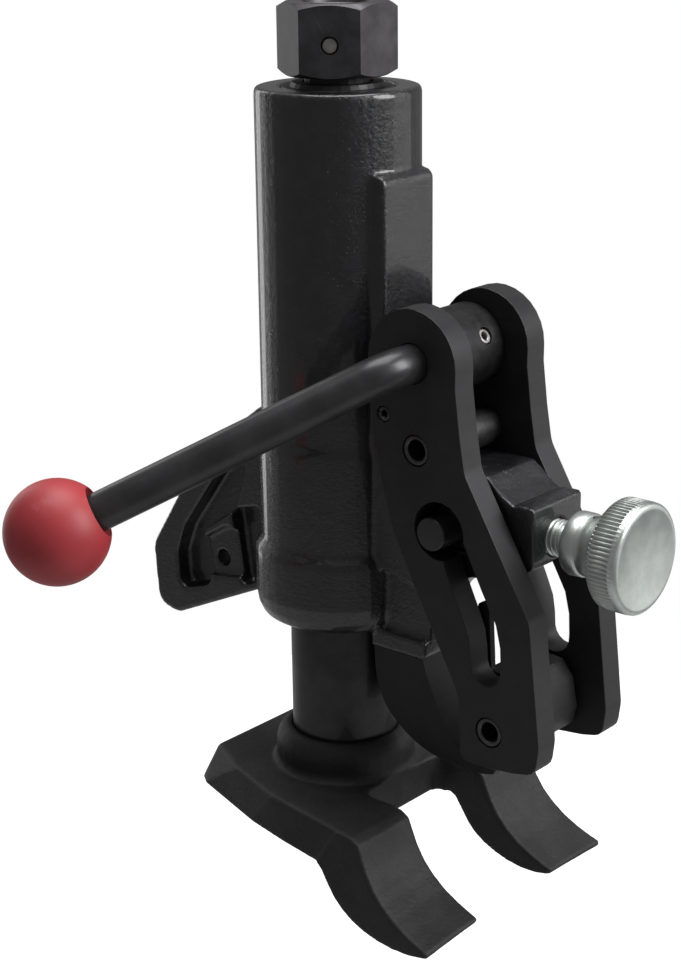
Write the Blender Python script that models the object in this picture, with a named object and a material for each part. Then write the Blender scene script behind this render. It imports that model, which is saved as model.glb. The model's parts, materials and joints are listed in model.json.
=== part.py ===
"""Bead breaker: a screw-driven ram in a cast barrel, with a lever-operated rim clamp.

Axes: +Z up along the barrel, +X to the front (foot prongs, clamp jaw, thumb screw),
+Y to the far side.  The origin is the middle of the rim clamp's mouth, between hook and jaw.
Dimensions are millimetres from the barrel axis and from a datum level just under the prongs.
"""
import math

import bmesh
import bpy
from mathutils import Matrix, Vector
from mathutils.geometry import tessellate_polygon

MM = 0.001
GAP = 0.3                 # running clearance between neighbouring pieces
CLAMP_MOUTH = (64.0, 0.0, 80.0)    # becomes the origin of the finished object

# barrel and sleeve
BARREL_TOP = 304.0
BARREL_R = 30.5
COLLAR_R = 31.6
SLEEVE_R = 34.0
SLEEVE_BOTTOM = 102.6
SLEEVE_TOP = 131.0
BORE_R = 21.3
BUSH_SEAT_R = 24.6
RAIL_FACE_X = 33.05
RAIL_HALF = 14.3
RAIL_TOP = 275.5
LUG_HALF = 14.6
LUG_WEB_HALF = 11.6
SHELF_TOP = 104.5
LUG_END_X = 99.8
FIN_HALF = 11.0
FIN_WEB_HALF = 4.0
FIN_BOSS_HALF = 8.0         # raised pad round the tether hole

# drive train
HEX_FLATS = 38.0
HEX_BOTTOM = 307.8
HEX_TOP = 333.6
HEX_TURN = -27.2          # direction of one hexagon corner, degrees
NECK_R = 12.0
SCREW_MAJOR_R = 11.0
SCREW_ROOT_R = 8.6
SCREW_PITCH = 8.0
CAP_BOTTOM = 283.6
BALLS = 8
BALL_RING_R = 16.4
RAM_R = 20.9
RAM_TOP = 232.0
RAM_BOTTOM = 27.6
RAM_BORE_R = 13.0
NUT_SEAT_R = 16.8
NUT_GRUB_Z = 224.0
RAM_STROKE = 95.0
KEY_Z = 118.0

# foot
PLATE_TOP = 39.0
PLATE_BOTTOM = 24.0
BOSS_TOP = 54.0
BOSS_R = 27.6
PRONG_IN = 22.3
FOOT_SCREW_Z = 45.0

# clamp
SIDE_IN = 15.9
SIDE_OUT = 26.4
PIVOT = (54.9, 214.3)     # lever shaft, x and z
TRUNNION = (63.3, 153.0)
UPPER_PIN = (56.8, 183.0)
STOP_PIN = (42.3, 193.9)
LOWER_PIN = (90.1, 84.1)
CAM_CENTRE = (49.4, 212.9)
CAM_R = 15.3
SHAFT_R = 7.0
BEND_Y = -40.0
BALL_CENTRE = (-28.3, -119.5, 159.5)
BALL_R = 19.0
HOOK_HALF = 9.0
JAW_HALF = 13.6
CHEEK_IN = 10.8
SCREW_Z = 153.0           # thumb screw axis
THUMB_R = 6.8
THUMB_PITCH = 2.0
KNOB_R = 20.0
KNURL_DEPTH = 0.8


# ---------------------------------------------------------------- helpers

def clear_scene():
    for ob in list(bpy.data.objects):
        bpy.data.objects.remove(ob, do_unlink=True)


def body(verts, faces, name="work"):
    """A closed mesh object from millimetre vertices, normals facing out."""
    me = bpy.data.meshes.new(name)
    me.from_pydata([tuple(c * MM for c in v) for v in verts], [], faces)
    ob = bpy.data.objects.new(name, me)
    bpy.context.scene.collection.objects.link(ob)
    bm = bmesh.new()
    bm.from_mesh(me)
    bmesh.ops.remove_doubles(bm, verts=bm.verts, dist=1e-7)
    bmesh.ops.recalc_face_normals(bm, faces=bm.faces)
    bm.to_mesh(me)
    bm.free()
    return ob


def place(axis, centre, u, v, h):
    """Point at local (u, v) across and h along the named axis through centre."""
    cx, cy, cz = centre
    if axis == "Z":
        return (cx + u, cy + v, cz + h)
    if axis == "Y":
        return (cx + u, cy + h, cz + v)
    return (cx + h, cy + u, cz + v)


def revolve(profile, segs=48, axis="Z", centre=(0.0, 0.0, 0.0), turn=0.0, tooth=None):
    """Closed (radius, height) outline spun round an axis.  tooth(i) trims every other spoke."""
    verts, rings = [], []
    for i, (r, h) in enumerate(profile):
        if r < 1e-6:
            rings.append([len(verts)])
            verts.append(place(axis, centre, 0.0, 0.0, h))
            continue
        rings.append(list(range(len(verts), len(verts) + segs)))
        for k in range(segs):
            a = math.radians(turn) + 2 * math.pi * k / segs
            rk = r - (tooth(i) if tooth and k % 2 else 0.0)
            verts.append(place(axis, centre, rk * math.cos(a), rk * math.sin(a), h))
    faces = []
    for i, lower in enumerate(rings):
        upper = rings[(i + 1) % len(rings)]
        for k in range(segs):
            n = (k + 1) % segs
            if len(lower) == 1 and len(upper) == 1:
                break
            if len(lower) == 1:
                faces.append((lower[0], upper[k], upper[n]))
            elif len(upper) == 1:
                faces.append((lower[k], lower[n], upper[0]))
            else:
                faces.append((lower[k], lower[n], upper[n], upper[k]))
    return body(verts, faces)


def rod(r, h0, h1, segs=32, axis="Z", centre=(0.0, 0.0, 0.0), chamfer=0.0, bore=0.0, turn=0.0):
    """Round bar or tube between two heights, edges broken by the chamfer."""
    c = chamfer
    outer = [(r - c, h0), (r, h0 + c), (r, h1 - c), (r - c, h1)] if c else [(r, h0), (r, h1)]
    inner = [(bore, h1), (bore, h0)] if bore else [(0.0, h1), (0.0, h0)]
    return revolve(outer + inner, segs, axis, centre, turn)


def prism(outline, d0, d1, holes=(), plane="XZ"):
    """Flat outline (with holes) given thickness from d0 to d1."""
    loops = [list(outline)] + [list(h) for h in holes]
    flat = [p for loop in loops for p in loop]
    n = len(flat)
    tris = tessellate_polygon([[Vector((p[0], p[1], 0.0)) for p in loop] for loop in loops])

    def lift(p, d):
        return (p[0], d, p[1]) if plane == "XZ" else (p[0], p[1], d)

    verts = [lift(p, d0) for p in flat] + [lift(p, d1) for p in flat]
    faces = [tuple(t) for t in tris] + [tuple(i + n for i in t) for t in tris]
    start = 0
    for loop in loops:
        m = len(loop)
        for k in range(m):
            a, b = start + k, start + (k + 1) % m
            faces.append((a, b, b + n, a + n))
        start += m
    return body(verts, faces)


def box(x0, x1, y0, y1, z0, z1):
    return prism([(x0, z0), (x1, z0), (x1, z1), (x0, z1)], y0, y1)


def half_circle(r, step):
    """Outline of a ball for revolve, poles on the axis."""
    pts = [(r * math.cos(math.radians(a)), r * math.sin(math.radians(a))) for a in range(-90, 91, step)]
    return [(p if p > 1e-3 else 0.0, h) for p, h in pts]


def circle(cx, cz, r, segs=32, a0=0.0, a1=360.0):
    """Points round a circle; a full turn leaves out the repeated end."""
    full = abs(a1 - a0) >= 360.0
    count = segs if full else segs + 1
    return [(cx + r * math.cos(math.radians(a0 + (a1 - a0) * k / segs)),
             cz + r * math.sin(math.radians(a0 + (a1 - a0) * k / segs))) for k in range(count)]


def rounded(points, steps=3):
    """Outline from (x, z, radius) corners, each corner turned into an arc."""
    out = []
    count = len(points)
    for i, (x, z, r) in enumerate(points):
        p = Vector((x, z))
        a = Vector(points[i - 1][:2]) - p
        b = Vector(points[(i + 1) % count][:2]) - p
        if r <= 0.0:
            out.append((x, z))
            continue
        half = a.angle(b) / 2
        t = min(r / math.tan(half), 0.45 * a.length, 0.45 * b.length)
        rr = t * math.tan(half)
        mid = (a.normalized() + b.normalized()).normalized()
        c = p + mid * (rr / math.sin(half))
        s = p + a.normalized() * t - c
        e = p + b.normalized() * t - c
        sweep = s.angle_signed(e)
        for k in range(steps + 1):
            q = Matrix.Rotation(-sweep * k / steps, 2) @ s
            out.append((c.x + q.x, c.y + q.y))
    return out


def combine(base, tool, operation):
    """Exact Boolean of two work pieces; the tool is used up."""
    mod = base.modifiers.new("op", "BOOLEAN")
    mod.operation = operation
    mod.solver = "EXACT"
    mod.object = tool
    graph = bpy.context.evaluated_depsgraph_get()
    graph.update()
    me = bpy.data.meshes.new_from_object(base.evaluated_get(graph), depsgraph=graph)
    base.modifiers.clear()
    base.data = me
    bpy.data.objects.remove(tool, do_unlink=True)
    bm = bmesh.new()
    bm.from_mesh(me)
    bmesh.ops.remove_doubles(bm, verts=bm.verts, dist=1e-7)
    bm.to_mesh(me)
    bm.free()
    return base


def add(base, *tools):
    for tool in tools:
        base = combine(base, tool, "UNION")
    return base


def cut(base, *tools):
    for tool in tools:
        base = combine(base, tool, "DIFFERENCE")
    return base


def break_edges(ob, width, angle=32.0, segments=1):
    """Small chamfer on every edge sharper than the angle."""
    mod = ob.modifiers.new("edge", "BEVEL")
    mod.width = width * MM
    mod.segments = segments
    mod.limit_method = "ANGLE"
    mod.angle_limit = math.radians(angle)
    mod.use_clamp_overlap = True
    mod.harden_normals = False
    graph = bpy.context.evaluated_depsgraph_get()
    graph.update()
    me = bpy.data.meshes.new_from_object(ob.evaluated_get(graph), depsgraph=graph)
    ob.modifiers.clear()
    ob.data = me
    return ob


def turned_to(ob, direction, at):
    """Stand a piece built along +Z from the origin on a point, facing a direction."""
    q = Vector((0, 0, 1)).rotation_difference(Vector(direction).normalized())
    ob.data.transform(Matrix.Translation(Vector(at) * MM) @ q.to_matrix().to_4x4())
    return ob


def helix_ridge(root, major, pitch, h0, h1, steps=16):
    """Trapezoid thread ridge wound round Z, its foot sunk into the core."""
    turns = (h1 - h0 - pitch) / pitch
    n = int(turns * steps)
    section = [(root - 0.4, 0.06), (major, 0.32), (major, 0.62), (root - 0.4, 0.88)]
    verts, faces = [], []
    for k in range(n + 1):
        a = 2 * math.pi * k / steps
        for r, f in section:
            verts.append((r * math.cos(a), r * math.sin(a), h0 + pitch * (k / steps + f)))
    for k in range(n):
        for j in range(4):
            a, b = 4 * k + j, 4 * k + (j + 1) % 4
            faces.append((a, b, b + 4, a + 4))
    faces.append((0, 1, 2, 3))
    faces.append((4 * n + 3, 4 * n + 2, 4 * n + 1, 4 * n))
    return body(verts, faces)


def swept(path, radius, segs=24):
    """Round bar along a path of (point, radius) stations with planar ends."""
    pts = [Vector(p) for p in path]
    rr = radius if isinstance(radius, list) else [radius] * len(pts)
    side = Vector((0, 0, 1))
    verts, faces = [], []
    for i, p in enumerate(pts):
        a = pts[max(i - 1, 0)]
        b = pts[min(i + 1, len(pts) - 1)]
        t = (b - a).normalized()
        side = (side - t * side.dot(t)).normalized()
        other = t.cross(side)
        for k in range(segs):
            w = 2 * math.pi * k / segs
            verts.append(tuple(p + (side * math.cos(w) + other * math.sin(w)) * rr[i]))
    for i in range(len(pts) - 1):
        for k in range(segs):
            a, b = i * segs + k, i * segs + (k + 1) % segs
            faces.append((a, b, b + segs, a + segs))
    faces.append(tuple(range(segs)))
    faces.append(tuple((len(pts) - 1) * segs + k for k in reversed(range(segs))))
    return body(verts, faces)


def material(name, colour, metallic, roughness, coat=0.0):
    mat = bpy.data.materials.new(name)
    mat.use_nodes = True
    shader = mat.node_tree.nodes["Principled BSDF"]
    shader.inputs["Base Color"].default_value = (*colour, 1.0)
    shader.inputs["Metallic"].default_value = metallic
    shader.inputs["Roughness"].default_value = roughness
    shader.inputs["Coat Weight"].default_value = coat
    mat.diffuse_color = (*colour, 1.0)
    return mat


PAINT = ((0.012, 0.012, 0.014), 0.0, 0.28, 0.6)
BLACKED = ((0.030, 0.030, 0.033), 0.35, 0.62, 0.0)
STEEL = ((0.30, 0.30, 0.31), 1.0, 0.38, 0.0)
DARK_STEEL = ((0.075, 0.070, 0.068), 0.8, 0.42, 0.0)
ZINC = ((0.72, 0.74, 0.72), 1.0, 0.24, 0.0)
BRONZE = ((0.45, 0.29, 0.12), 1.0, 0.36, 0.0)
RUBBER = ((0.014, 0.014, 0.014), 0.0, 0.78, 0.0)
RED = ((0.42, 0.030, 0.035), 0.0, 0.48, 0.1)


def node(ob, name, finish, origin=(0.0, 0.0, 0.0), sharp=34.0):
    """Name the finished piece, put its origin on its own axis and give it a material."""
    ob.name = name
    ob.data.name = name
    o = Vector(origin) * MM
    ob.data.transform(Matrix.Translation(-o))
    ob.location = o - Vector(CLAMP_MOUTH) * MM
    bm = bmesh.new()
    bm.from_mesh(ob.data)
    bmesh.ops.recalc_face_normals(bm, faces=bm.faces)
    limit = math.radians(sharp)
    for f in bm.faces:
        f.smooth = True
    for e in bm.edges:
        if len(e.link_faces) == 2 and e.calc_face_angle(0.0) > limit:
            e.smooth = False
    bm.to_mesh(ob.data)
    bm.free()
    colour, metallic, roughness, coat = finish
    ob.data.materials.clear()
    ob.data.materials.append(material(name + "_finish", colour, metallic, roughness, coat))
    return ob


# ---------------------------------------------------------------- casting

def make_housing():
    shell = revolve([(0.0, SLEEVE_BOTTOM), (29.4, SLEEVE_BOTTOM), (31.6, 104.0), (33.2, 107.4),
                     (SLEEVE_R, 112.6), (SLEEVE_R, 129.6), (33.2, 131.4), (COLLAR_R, 133.6),
                     (COLLAR_R, 171.6), (31.3, 173.2), (BARREL_R, 175.4),
                     (BARREL_R, 302.2), (30.0, 303.5), (28.8, BARREL_TOP), (0.0, BARREL_TOP)], 44)
    # the rail stands on the sleeve, and the lug hangs from both
    rail = prism(rounded([(20.0, SLEEVE_TOP, 0), (RAIL_FACE_X, SLEEVE_TOP, 0), (RAIL_FACE_X, RAIL_TOP, 3.5),
                          (20.0, RAIL_TOP, 0)]), -RAIL_HALF, RAIL_HALF)
    break_edges(rail, 0.9, 60.0)
    lug = prism(rounded([(26.0, 97.6, 0), (51.6, 97.6, 1.5), (52.6, 122.0, 9.0), (72.0, 135.4, 6.0),
                         (90.0, 139.0, 4.0), (LUG_END_X, 144.6, 1.2), (LUG_END_X, 166.9, 1.2),
                         (93.0, 167.1, 1.0), (91.4, 166.0, 1.0), (86.0, 169.0, 5.0),
                         (79.3, 174.9, 3.0), (44.0, 174.9, 8.0), (33.0, 182.0, 0),
                         (26.0, 182.0, 0)]),
                -LUG_HALF, LUG_HALF)
    break_edges(lug, 1.2, 60.0)
    # above its bottom shelf the lug narrows to a web
    web_side = rounded([(24.0, SHELF_TOP, 0), (60.0, SHELF_TOP, 0), (60.0, 130.0, 0),
                        (50.0, 125.0, 6.0), (24.0, 131.0, 0)])
    lug = cut(lug, prism(web_side, -20.0, -LUG_WEB_HALF), prism(web_side, LUG_WEB_HALF, 20.0))
    # stabiliser fin behind the sleeve, dished on both sides
    fin_outline = rounded([(-24.0, 182.0, 0), (-33.0, 180.0, 6.0), (-62.0, 158.0, 14.0),
                           (-79.2, 135.3, 10.0), (-95.3, 110.4, 9.0), (-93.3, 84.5, 8.0),
                           (-82.0, 82.6, 5.0), (-30.0, 106.5, 0), (-24.0, 112.0, 0)])
    fin = prism(fin_outline, -FIN_HALF, FIN_HALF)
    break_edges(fin, 1.4, 60.0)
    recess = rounded([(-38.0, 163.0, 4.0), (-56.9, 148.5, 6.0), (-76.5, 121.9, 8.0),
                      (-81.0, 110.0, 6.0), (-80.6, 93.6, 4.0), (-62.0, 99.6, 5.0),
                      (-66.0, 122.0, 5.0), (-47.5, 135.0, 4.0)])
    inner = rounded([(-44.0, 106.5, 4.0), (-66.0, 103.4, 4.0), (-68.0, 118.0, 5.0),
                     (-48.0, 130.0, 5.0)])
    pocket = rounded([(-50.0, 134.6, 2.0), (-34.2, 139.0, 1.5), (-34.2, 107.4, 1.5),
                      (-45.5, 103.0, 3.0)])
    for side in (-1, 1):
        for region, depth in ((recess, FIN_WEB_HALF), (pocket, FIN_WEB_HALF), (inner, FIN_BOSS_HALF)):
            low, high = sorted((side * depth, side * (FIN_HALF + 1)))
            fin = cut(fin, prism(region, low, high))
    fin = cut(fin, rod(3.4, -20, 20, 20, "Y", (-57.5, 0, 111.5)))
    shell = add(shell, rail, lug, fin)
    # bores
    shell = cut(shell,
                rod(BORE_R, 60.0, CAP_BOTTOM - GAP, 32),
                rod(BUSH_SEAT_R, 60.0, 135.6, 32),
                rod(20.98, CAP_BOTTOM - 2.0, 330.0, 32),
                # window for the trunnion slide, open to both sides of the lug
                prism(rounded([(54.3, 144.7, 1.0), (81.4, 144.7, 1.0), (81.4, 161.3, 1.0),
                               (54.3, 161.3, 1.0)], 3), -20, 20),
                rod(THUMB_R + GAP, 80.0, 110.0, 24, "X", (0, 0, SCREW_Z)),
                # pocket for the hook shank
                box(28.2, 46.3, -HOOK_HALF - GAP, HOOK_HALF + GAP, 90.0, 124.6),
                rod(3.3, -10.5, 20.0, 20, "Y", (37.0, 0, 107.0)),
                rod(3.3, -10.5, 20.0, 20, "Y", (37.0, 0, 118.0)),
                # seat for the ram key on the far side of the sleeve
                rod(4.3, 20.0, 40.0, 20, "Y", (0, 0, KEY_Z)))
    return node(shell, "housing", PAINT)


# ---------------------------------------------------------------- drive train

def make_drive():
    core = revolve([(0.0, 105.0), (7.4, 105.0), (SCREW_ROOT_R, 106.4), (SCREW_ROOT_R, 250.0),
                    (NECK_R, 251.0), (NECK_R, 261.0), (19.6, 261.0), (20.2, 261.6), (20.2, 268.4),
                    (19.6, 269.0), (NECK_R, 269.0), (NECK_R, 307.4), (9.0, 307.4), (9.0, 327.0),
                    (0.0, 327.0)], 24)
    screw = add(core, helix_ridge(SCREW_ROOT_R, SCREW_MAJOR_R, SCREW_PITCH, 108.0, 240.0, 8))
    pin_at = math.radians(HEX_TURN - 30.0)
    out = (math.cos(pin_at), math.sin(pin_at), 0.0)
    hole = turned_to(rod(3.2, -30.0, 30.0, 16), out, (0, 0, 319.5))
    node(cut(screw, hole), "drive_screw", DARK_STEEL)

    corner = HEX_FLATS / 2 / math.cos(math.pi / 6)
    # the bore is round, so it is cut from the six-sided bar
    head_bore = revolve([(9.3, HEX_BOTTOM - 1), (9.3, 327.4), (0.0, 327.4), (0.0, HEX_BOTTOM - 1)], 20)
    solid = rod(corner, HEX_BOTTOM, HEX_TOP, 6, turn=HEX_TURN)
    domes = revolve([(0.0, HEX_BOTTOM - 0.1), (18.4, HEX_BOTTOM - 0.1), (23.4, HEX_BOTTOM + 2.8),
                     (23.4, HEX_TOP - 2.8), (18.4, HEX_TOP + 0.1), (0.0, HEX_TOP + 0.1)], 36)
    solid = combine(solid, domes, "INTERSECT")
    dish = revolve([(0.0, HEX_TOP - 2.2), (11.2, HEX_TOP - 2.2), (12.8, HEX_TOP + 0.4),
                    (0.0, HEX_TOP + 0.4)], 24)
    hole = turned_to(rod(3.2, -30.0, 30.0, 16), out, (0, 0, 319.5))
    node(cut(solid, head_bore, dish, hole), "hex_head", DARK_STEEL)

    pin = turned_to(rod(2.9, -18.6, 18.6, 16, chamfer=0.8), out, (0, 0, 319.5))
    node(pin, "hex_pin", STEEL, (0, 0, 319.5))

    # thrust bearing between the screw collar and the cap
    node(rod(20.7, 269.3, 272.6, 28, chamfer=0.0, bore=NECK_R + GAP), "thrust_race_lower", STEEL)
    node(rod(20.7, 280.0, 283.3, 28, chamfer=0.0, bore=NECK_R + GAP), "thrust_race_upper", STEEL)
    cage = rod(20.2, 274.9, 277.7, 28, bore=12.8)
    for k in range(BALLS):
        a = 2 * math.pi * k / BALLS
        at = (BALL_RING_R * math.cos(a), BALL_RING_R * math.sin(a), 0)
        cage = cut(cage, rod(3.45, 270.0, 282.0, 10, "Z", at))
    node(cage, "thrust_cage", BRONZE)
    for k in range(BALLS):
        a = 2 * math.pi * k / BALLS
        centre = (BALL_RING_R * math.cos(a), BALL_RING_R * math.sin(a), 276.3)
        node(revolve(half_circle(3.1, 45), 10, "Z", centre), "thrust_ball_%d" % (k + 1), STEEL, centre)

    cap = revolve([(15.9, CAP_BOTTOM), (20.6, CAP_BOTTOM), (20.6, 303.4), (20.2, 303.8),
                   (17.4, 303.8), (16.6, 305.4), (12.9, 305.4), (12.9, 303.3), (15.9, 303.3)], 32)
    node(cap, "bearing_cap", PAINT)
    node(rod(15.6, 284.4, 302.8, 24, chamfer=0.5, bore=NECK_R + GAP), "neck_bush", BRONZE)


def make_ram():
    tube = revolve([(0.0, RAM_BOTTOM), (RAM_R - 1, RAM_BOTTOM), (RAM_R, RAM_BOTTOM + 1),
                    (RAM_R, RAM_TOP - 1), (RAM_R - 1, RAM_TOP), (NUT_SEAT_R, RAM_TOP),
                    (NUT_SEAT_R, 200.0), (RAM_BORE_R, 200.0), (RAM_BORE_R, 66.0), (0.0, 62.0)], 36)
    tube = cut(tube,
               # keyway down the far side, as long as the stroke
               box(-3.4, 3.4, 17.9, RAM_R + 1, KEY_Z - 4.2, KEY_Z + RAM_STROKE + 4.2),
               rod(4.3, -30.0, -16.0, 16, "X", (0, 0, FOOT_SCREW_Z)),
               rod(2.5, -22.0, -15.0, 14, "Y", (0, 0, NUT_GRUB_Z)),
               rod(2.5, 15.0, 22.0, 14, "Y", (0, 0, NUT_GRUB_Z)))
    node(tube, "ram", DARK_STEEL)
    nut = revolve([(SCREW_MAJOR_R + GAP, 200.3), (NUT_SEAT_R - GAP, 200.3), (NUT_SEAT_R - GAP, 231.4),
                   (15.9, 232.0), (12.2, 232.0), (SCREW_MAJOR_R + GAP, 231.2)], 20)
    nut = cut(nut, rod(2.5, -17.0, -13.6, 14, "Y", (0, 0, NUT_GRUB_Z)),
              rod(2.5, 13.6, 17.0, 14, "Y", (0, 0, NUT_GRUB_Z)))
    node(nut, "ram_nut", BRONZE, (0, 0, NUT_GRUB_Z))
    for label, y in (("near", -17.05), ("far", 17.05)):
        grub = rod(2.2, y - 3.15, y + 3.15, 14, "Y", (0, 0, NUT_GRUB_Z))
        node(grub, "nut_grub_" + label, DARK_STEEL, (0, y, NUT_GRUB_Z))
    key = revolve([(0.0, 18.6), (3.0, 18.6), (3.0, 22.6), (4.0, 22.9), (4.0, 31.6),
                   (3.4, 32.2), (2.0, 32.2), (2.0, 29.4), (0.0, 29.4)], 20, "Y", (0, 0, KEY_Z))
    node(key, "ram_key", DARK_STEEL, (0, 26.0, KEY_Z))
    bush = rod(BUSH_SEAT_R - GAP, 108.2, 135.3, 32, chamfer=0.5, bore=RAM_R + GAP)
    node(cut(bush, rod(4.3, 18.0, 30.0, 20, "Y", (0, 0, KEY_Z))), "guide_bush", BRONZE)
    node(revolve([(RAM_R + GAP, 103.4), (22.6, 102.8), (BUSH_SEAT_R - GAP, 102.8),
                  (BUSH_SEAT_R - GAP, 107.9), (22.2, 107.9), (22.2, 106.0), (RAM_R + GAP, 105.0)], 32),
         "wiper_seal", RUBBER)


# ---------------------------------------------------------------- foot

def make_foot():
    def outline(half, z):
        """Closed plan outline, mirrored about the centre plane, from its near half."""
        near = [(x, -y, z) for x, y in half]
        return near + [(x, y, z) for x, y in reversed(half)]

    # plan of the upper face, and of the sole with its flared sides
    top = outline([(-46.5, 25.6), (-25.0, 37.5), (3.0, 46.8), (31.0, 51.0), (45.0, 53.2)], PLATE_TOP)
    bottom = outline([(-51.6, 30.6), (-46.8, 34.2), (-9.0, 46.8), (11.0, 51.2), (34.5, 55.2)],
                     PLATE_BOTTOM)
    n = len(top)
    faces = [tuple(range(n)), tuple(n + k for k in reversed(range(n)))]
    faces += [(k, (k + 1) % n, n + (k + 1) % n, n + k) for k in range(n)]
    plate = body(top + bottom, faces)
    break_edges(plate, 1.0, 40.0)
    plate = cut(plate, prism(rounded([(28.5, -PRONG_IN, 4.0), (28.5, PRONG_IN, 4.0),
                                      (80.0, PRONG_IN, 0), (80.0, -PRONG_IN, 0)]), 0.0, 60.0, plane="XY"))

    # prong section: underside at its outer and inner edge, and the bearing face above
    under_out = [(31.5, 24.6), (34.4, 22.0), (37.0, 17.6), (40.6, 12.4), (44.6, 8.8), (49.0, 6.0),
                 (54.4, 3.8), (60.5, 2.3), (68.0, 1.5), (76.0, 1.9), (84.2, 3.6)]
    under_in = [(34.5, 24.6), (37.6, 23.0), (40.6, 18.6), (44.0, 13.6), (47.6, 9.8), (52.0, 6.9),
                (57.5, 4.5), (63.5, 2.7), (70.0, 1.8), (76.6, 2.0), (83.0, 3.4)]
    over = [(40.0, 38.9), (47.4, 38.6), (51.0, 36.6), (52.8, 32.4), (55.2, 27.0), (58.6, 21.6),
            (63.0, 17.0), (68.8, 12.6), (75.2, 9.3), (80.6, 7.1), (84.6, 5.7)]
    stations = len(over)

    def prong(side):
        verts, quads = [], []
        for i in range(stations):
            t = i / (stations - 1)
            y_in = PRONG_IN + 0.8 * t
            y_low, y_high = 55.4 + 0.8 * t, 52.8 + 3.2 * t
            verts += [(under_in[i][0], side * y_in, under_in[i][1]),
                      (under_out[i][0] + t, side * y_low, under_out[i][1]),
                      (over[i][0] + t, side * y_high, over[i][1]),
                      (over[i][0], side * y_in, over[i][1])]
        for i in range(stations - 1):
            for j in range(4):
                a, b = 4 * i + j, 4 * i + (j + 1) % 4
                quads.append((a, b, b + 4, a + 4))
        last = 4 * (stations - 1)
        quads += [(3, 2, 1, 0), (last, last + 1, last + 2, last + 3)]
        piece = body(verts, quads)
        return break_edges(piece, 0.7, 55.0)

    boss = revolve([(0.0, 28.0), (BOSS_R + 1.2, 28.0), (BOSS_R + 1.2, 39.6), (BOSS_R, 41.0),
                    (BOSS_R, 47.6), (27.0, 49.8), (25.4, 52.2), (23.4, 53.6), (22.0, BOSS_TOP),
                    (0.0, BOSS_TOP)], 36)
    foot = add(plate, prong(-1), prong(1), boss)
    foot = cut(foot, rod(RAM_R + GAP, RAM_BOTTOM - GAP, 80.0, 36),
               rod(4.3, -40.0, -15.0, 16, "X", (0, 0, FOOT_SCREW_Z)))
    node(foot, "foot", BLACKED, (0, 0, BOSS_TOP))
    socket_screw = revolve([(0.0, -16.4), (3.2, -16.4), (4.0, -17.4), (4.0, -26.2), (3.5, -26.8),
                            (2.0, -26.8), (2.0, -23.4), (0.0, -23.4)], 16, "X", (0, 0, FOOT_SCREW_Z))
    node(socket_screw, "foot_set_screw", DARK_STEEL, (-22.0, 0, FOOT_SCREW_Z))


# ---------------------------------------------------------------- clamp

def side_plate_outline():
    lobe = circle(PIVOT[0], PIVOT[1], 19.5, 15, 180.0, 0.0)
    corners = rounded([(74.3, 208.0, 0), (76.2, 192.1, 30.0), (78.5, 178.4, 12.0), (106.9, 130.2, 9.0),
                       (112.0, 84.0, 14.0), (110.6, 73.6, 5.0), (102.2, 71.6, 20.0), (89.3, 70.1, 0),
                       (77.6, 70.0, 3.0), (76.4, 95.0, 12.0), (56.3, 132.0, 30.0), (46.2, 151.6, 40.0),
                       (40.9, 169.4, 40.0), (37.4, 187.0, 40.0), (35.4, 208.0, 0)], 3)
    return lobe + corners


def keyhole():
    upper = circle(67.3, 155.0, 11.0, 16, 281.0, -8.0)
    right = [(86.0, 138.0), (92.8, 126.0), (94.7, 118.0), (95.0, 110.0)]
    lower = circle(88.4, 108.0, 6.5, 8, -10.0, -172.0)
    left = [(81.6, 113.0), (80.6, 119.0), (77.8, 125.6), (70.8, 140.4)]
    return upper + right + lower + left


def make_side_plates():
    outline = side_plate_outline()
    holes = [keyhole(), circle(*PIVOT, SHAFT_R + GAP, 20), circle(*UPPER_PIN, 5.9, 18),
             circle(*STOP_PIN, 3.15, 12), circle(*LOWER_PIN, 5.8, 18)]
    origin = (TRUNNION[0], 0.0, TRUNNION[1])
    near = prism(outline, -SIDE_OUT, -SIDE_IN, holes)
    far = prism(outline, SIDE_IN, SIDE_OUT, holes)
    node(break_edges(near, 0.5, 50.0), "side_plate_near", BLACKED, origin)
    node(break_edges(far, 0.5, 50.0), "side_plate_far", BLACKED, origin)


def hollow_pin(xz, r, bore, half, segs=18):
    return rod(r, -half, half, segs, "Y", (xz[0], 0.0, xz[1]), 0.5, bore)


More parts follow.
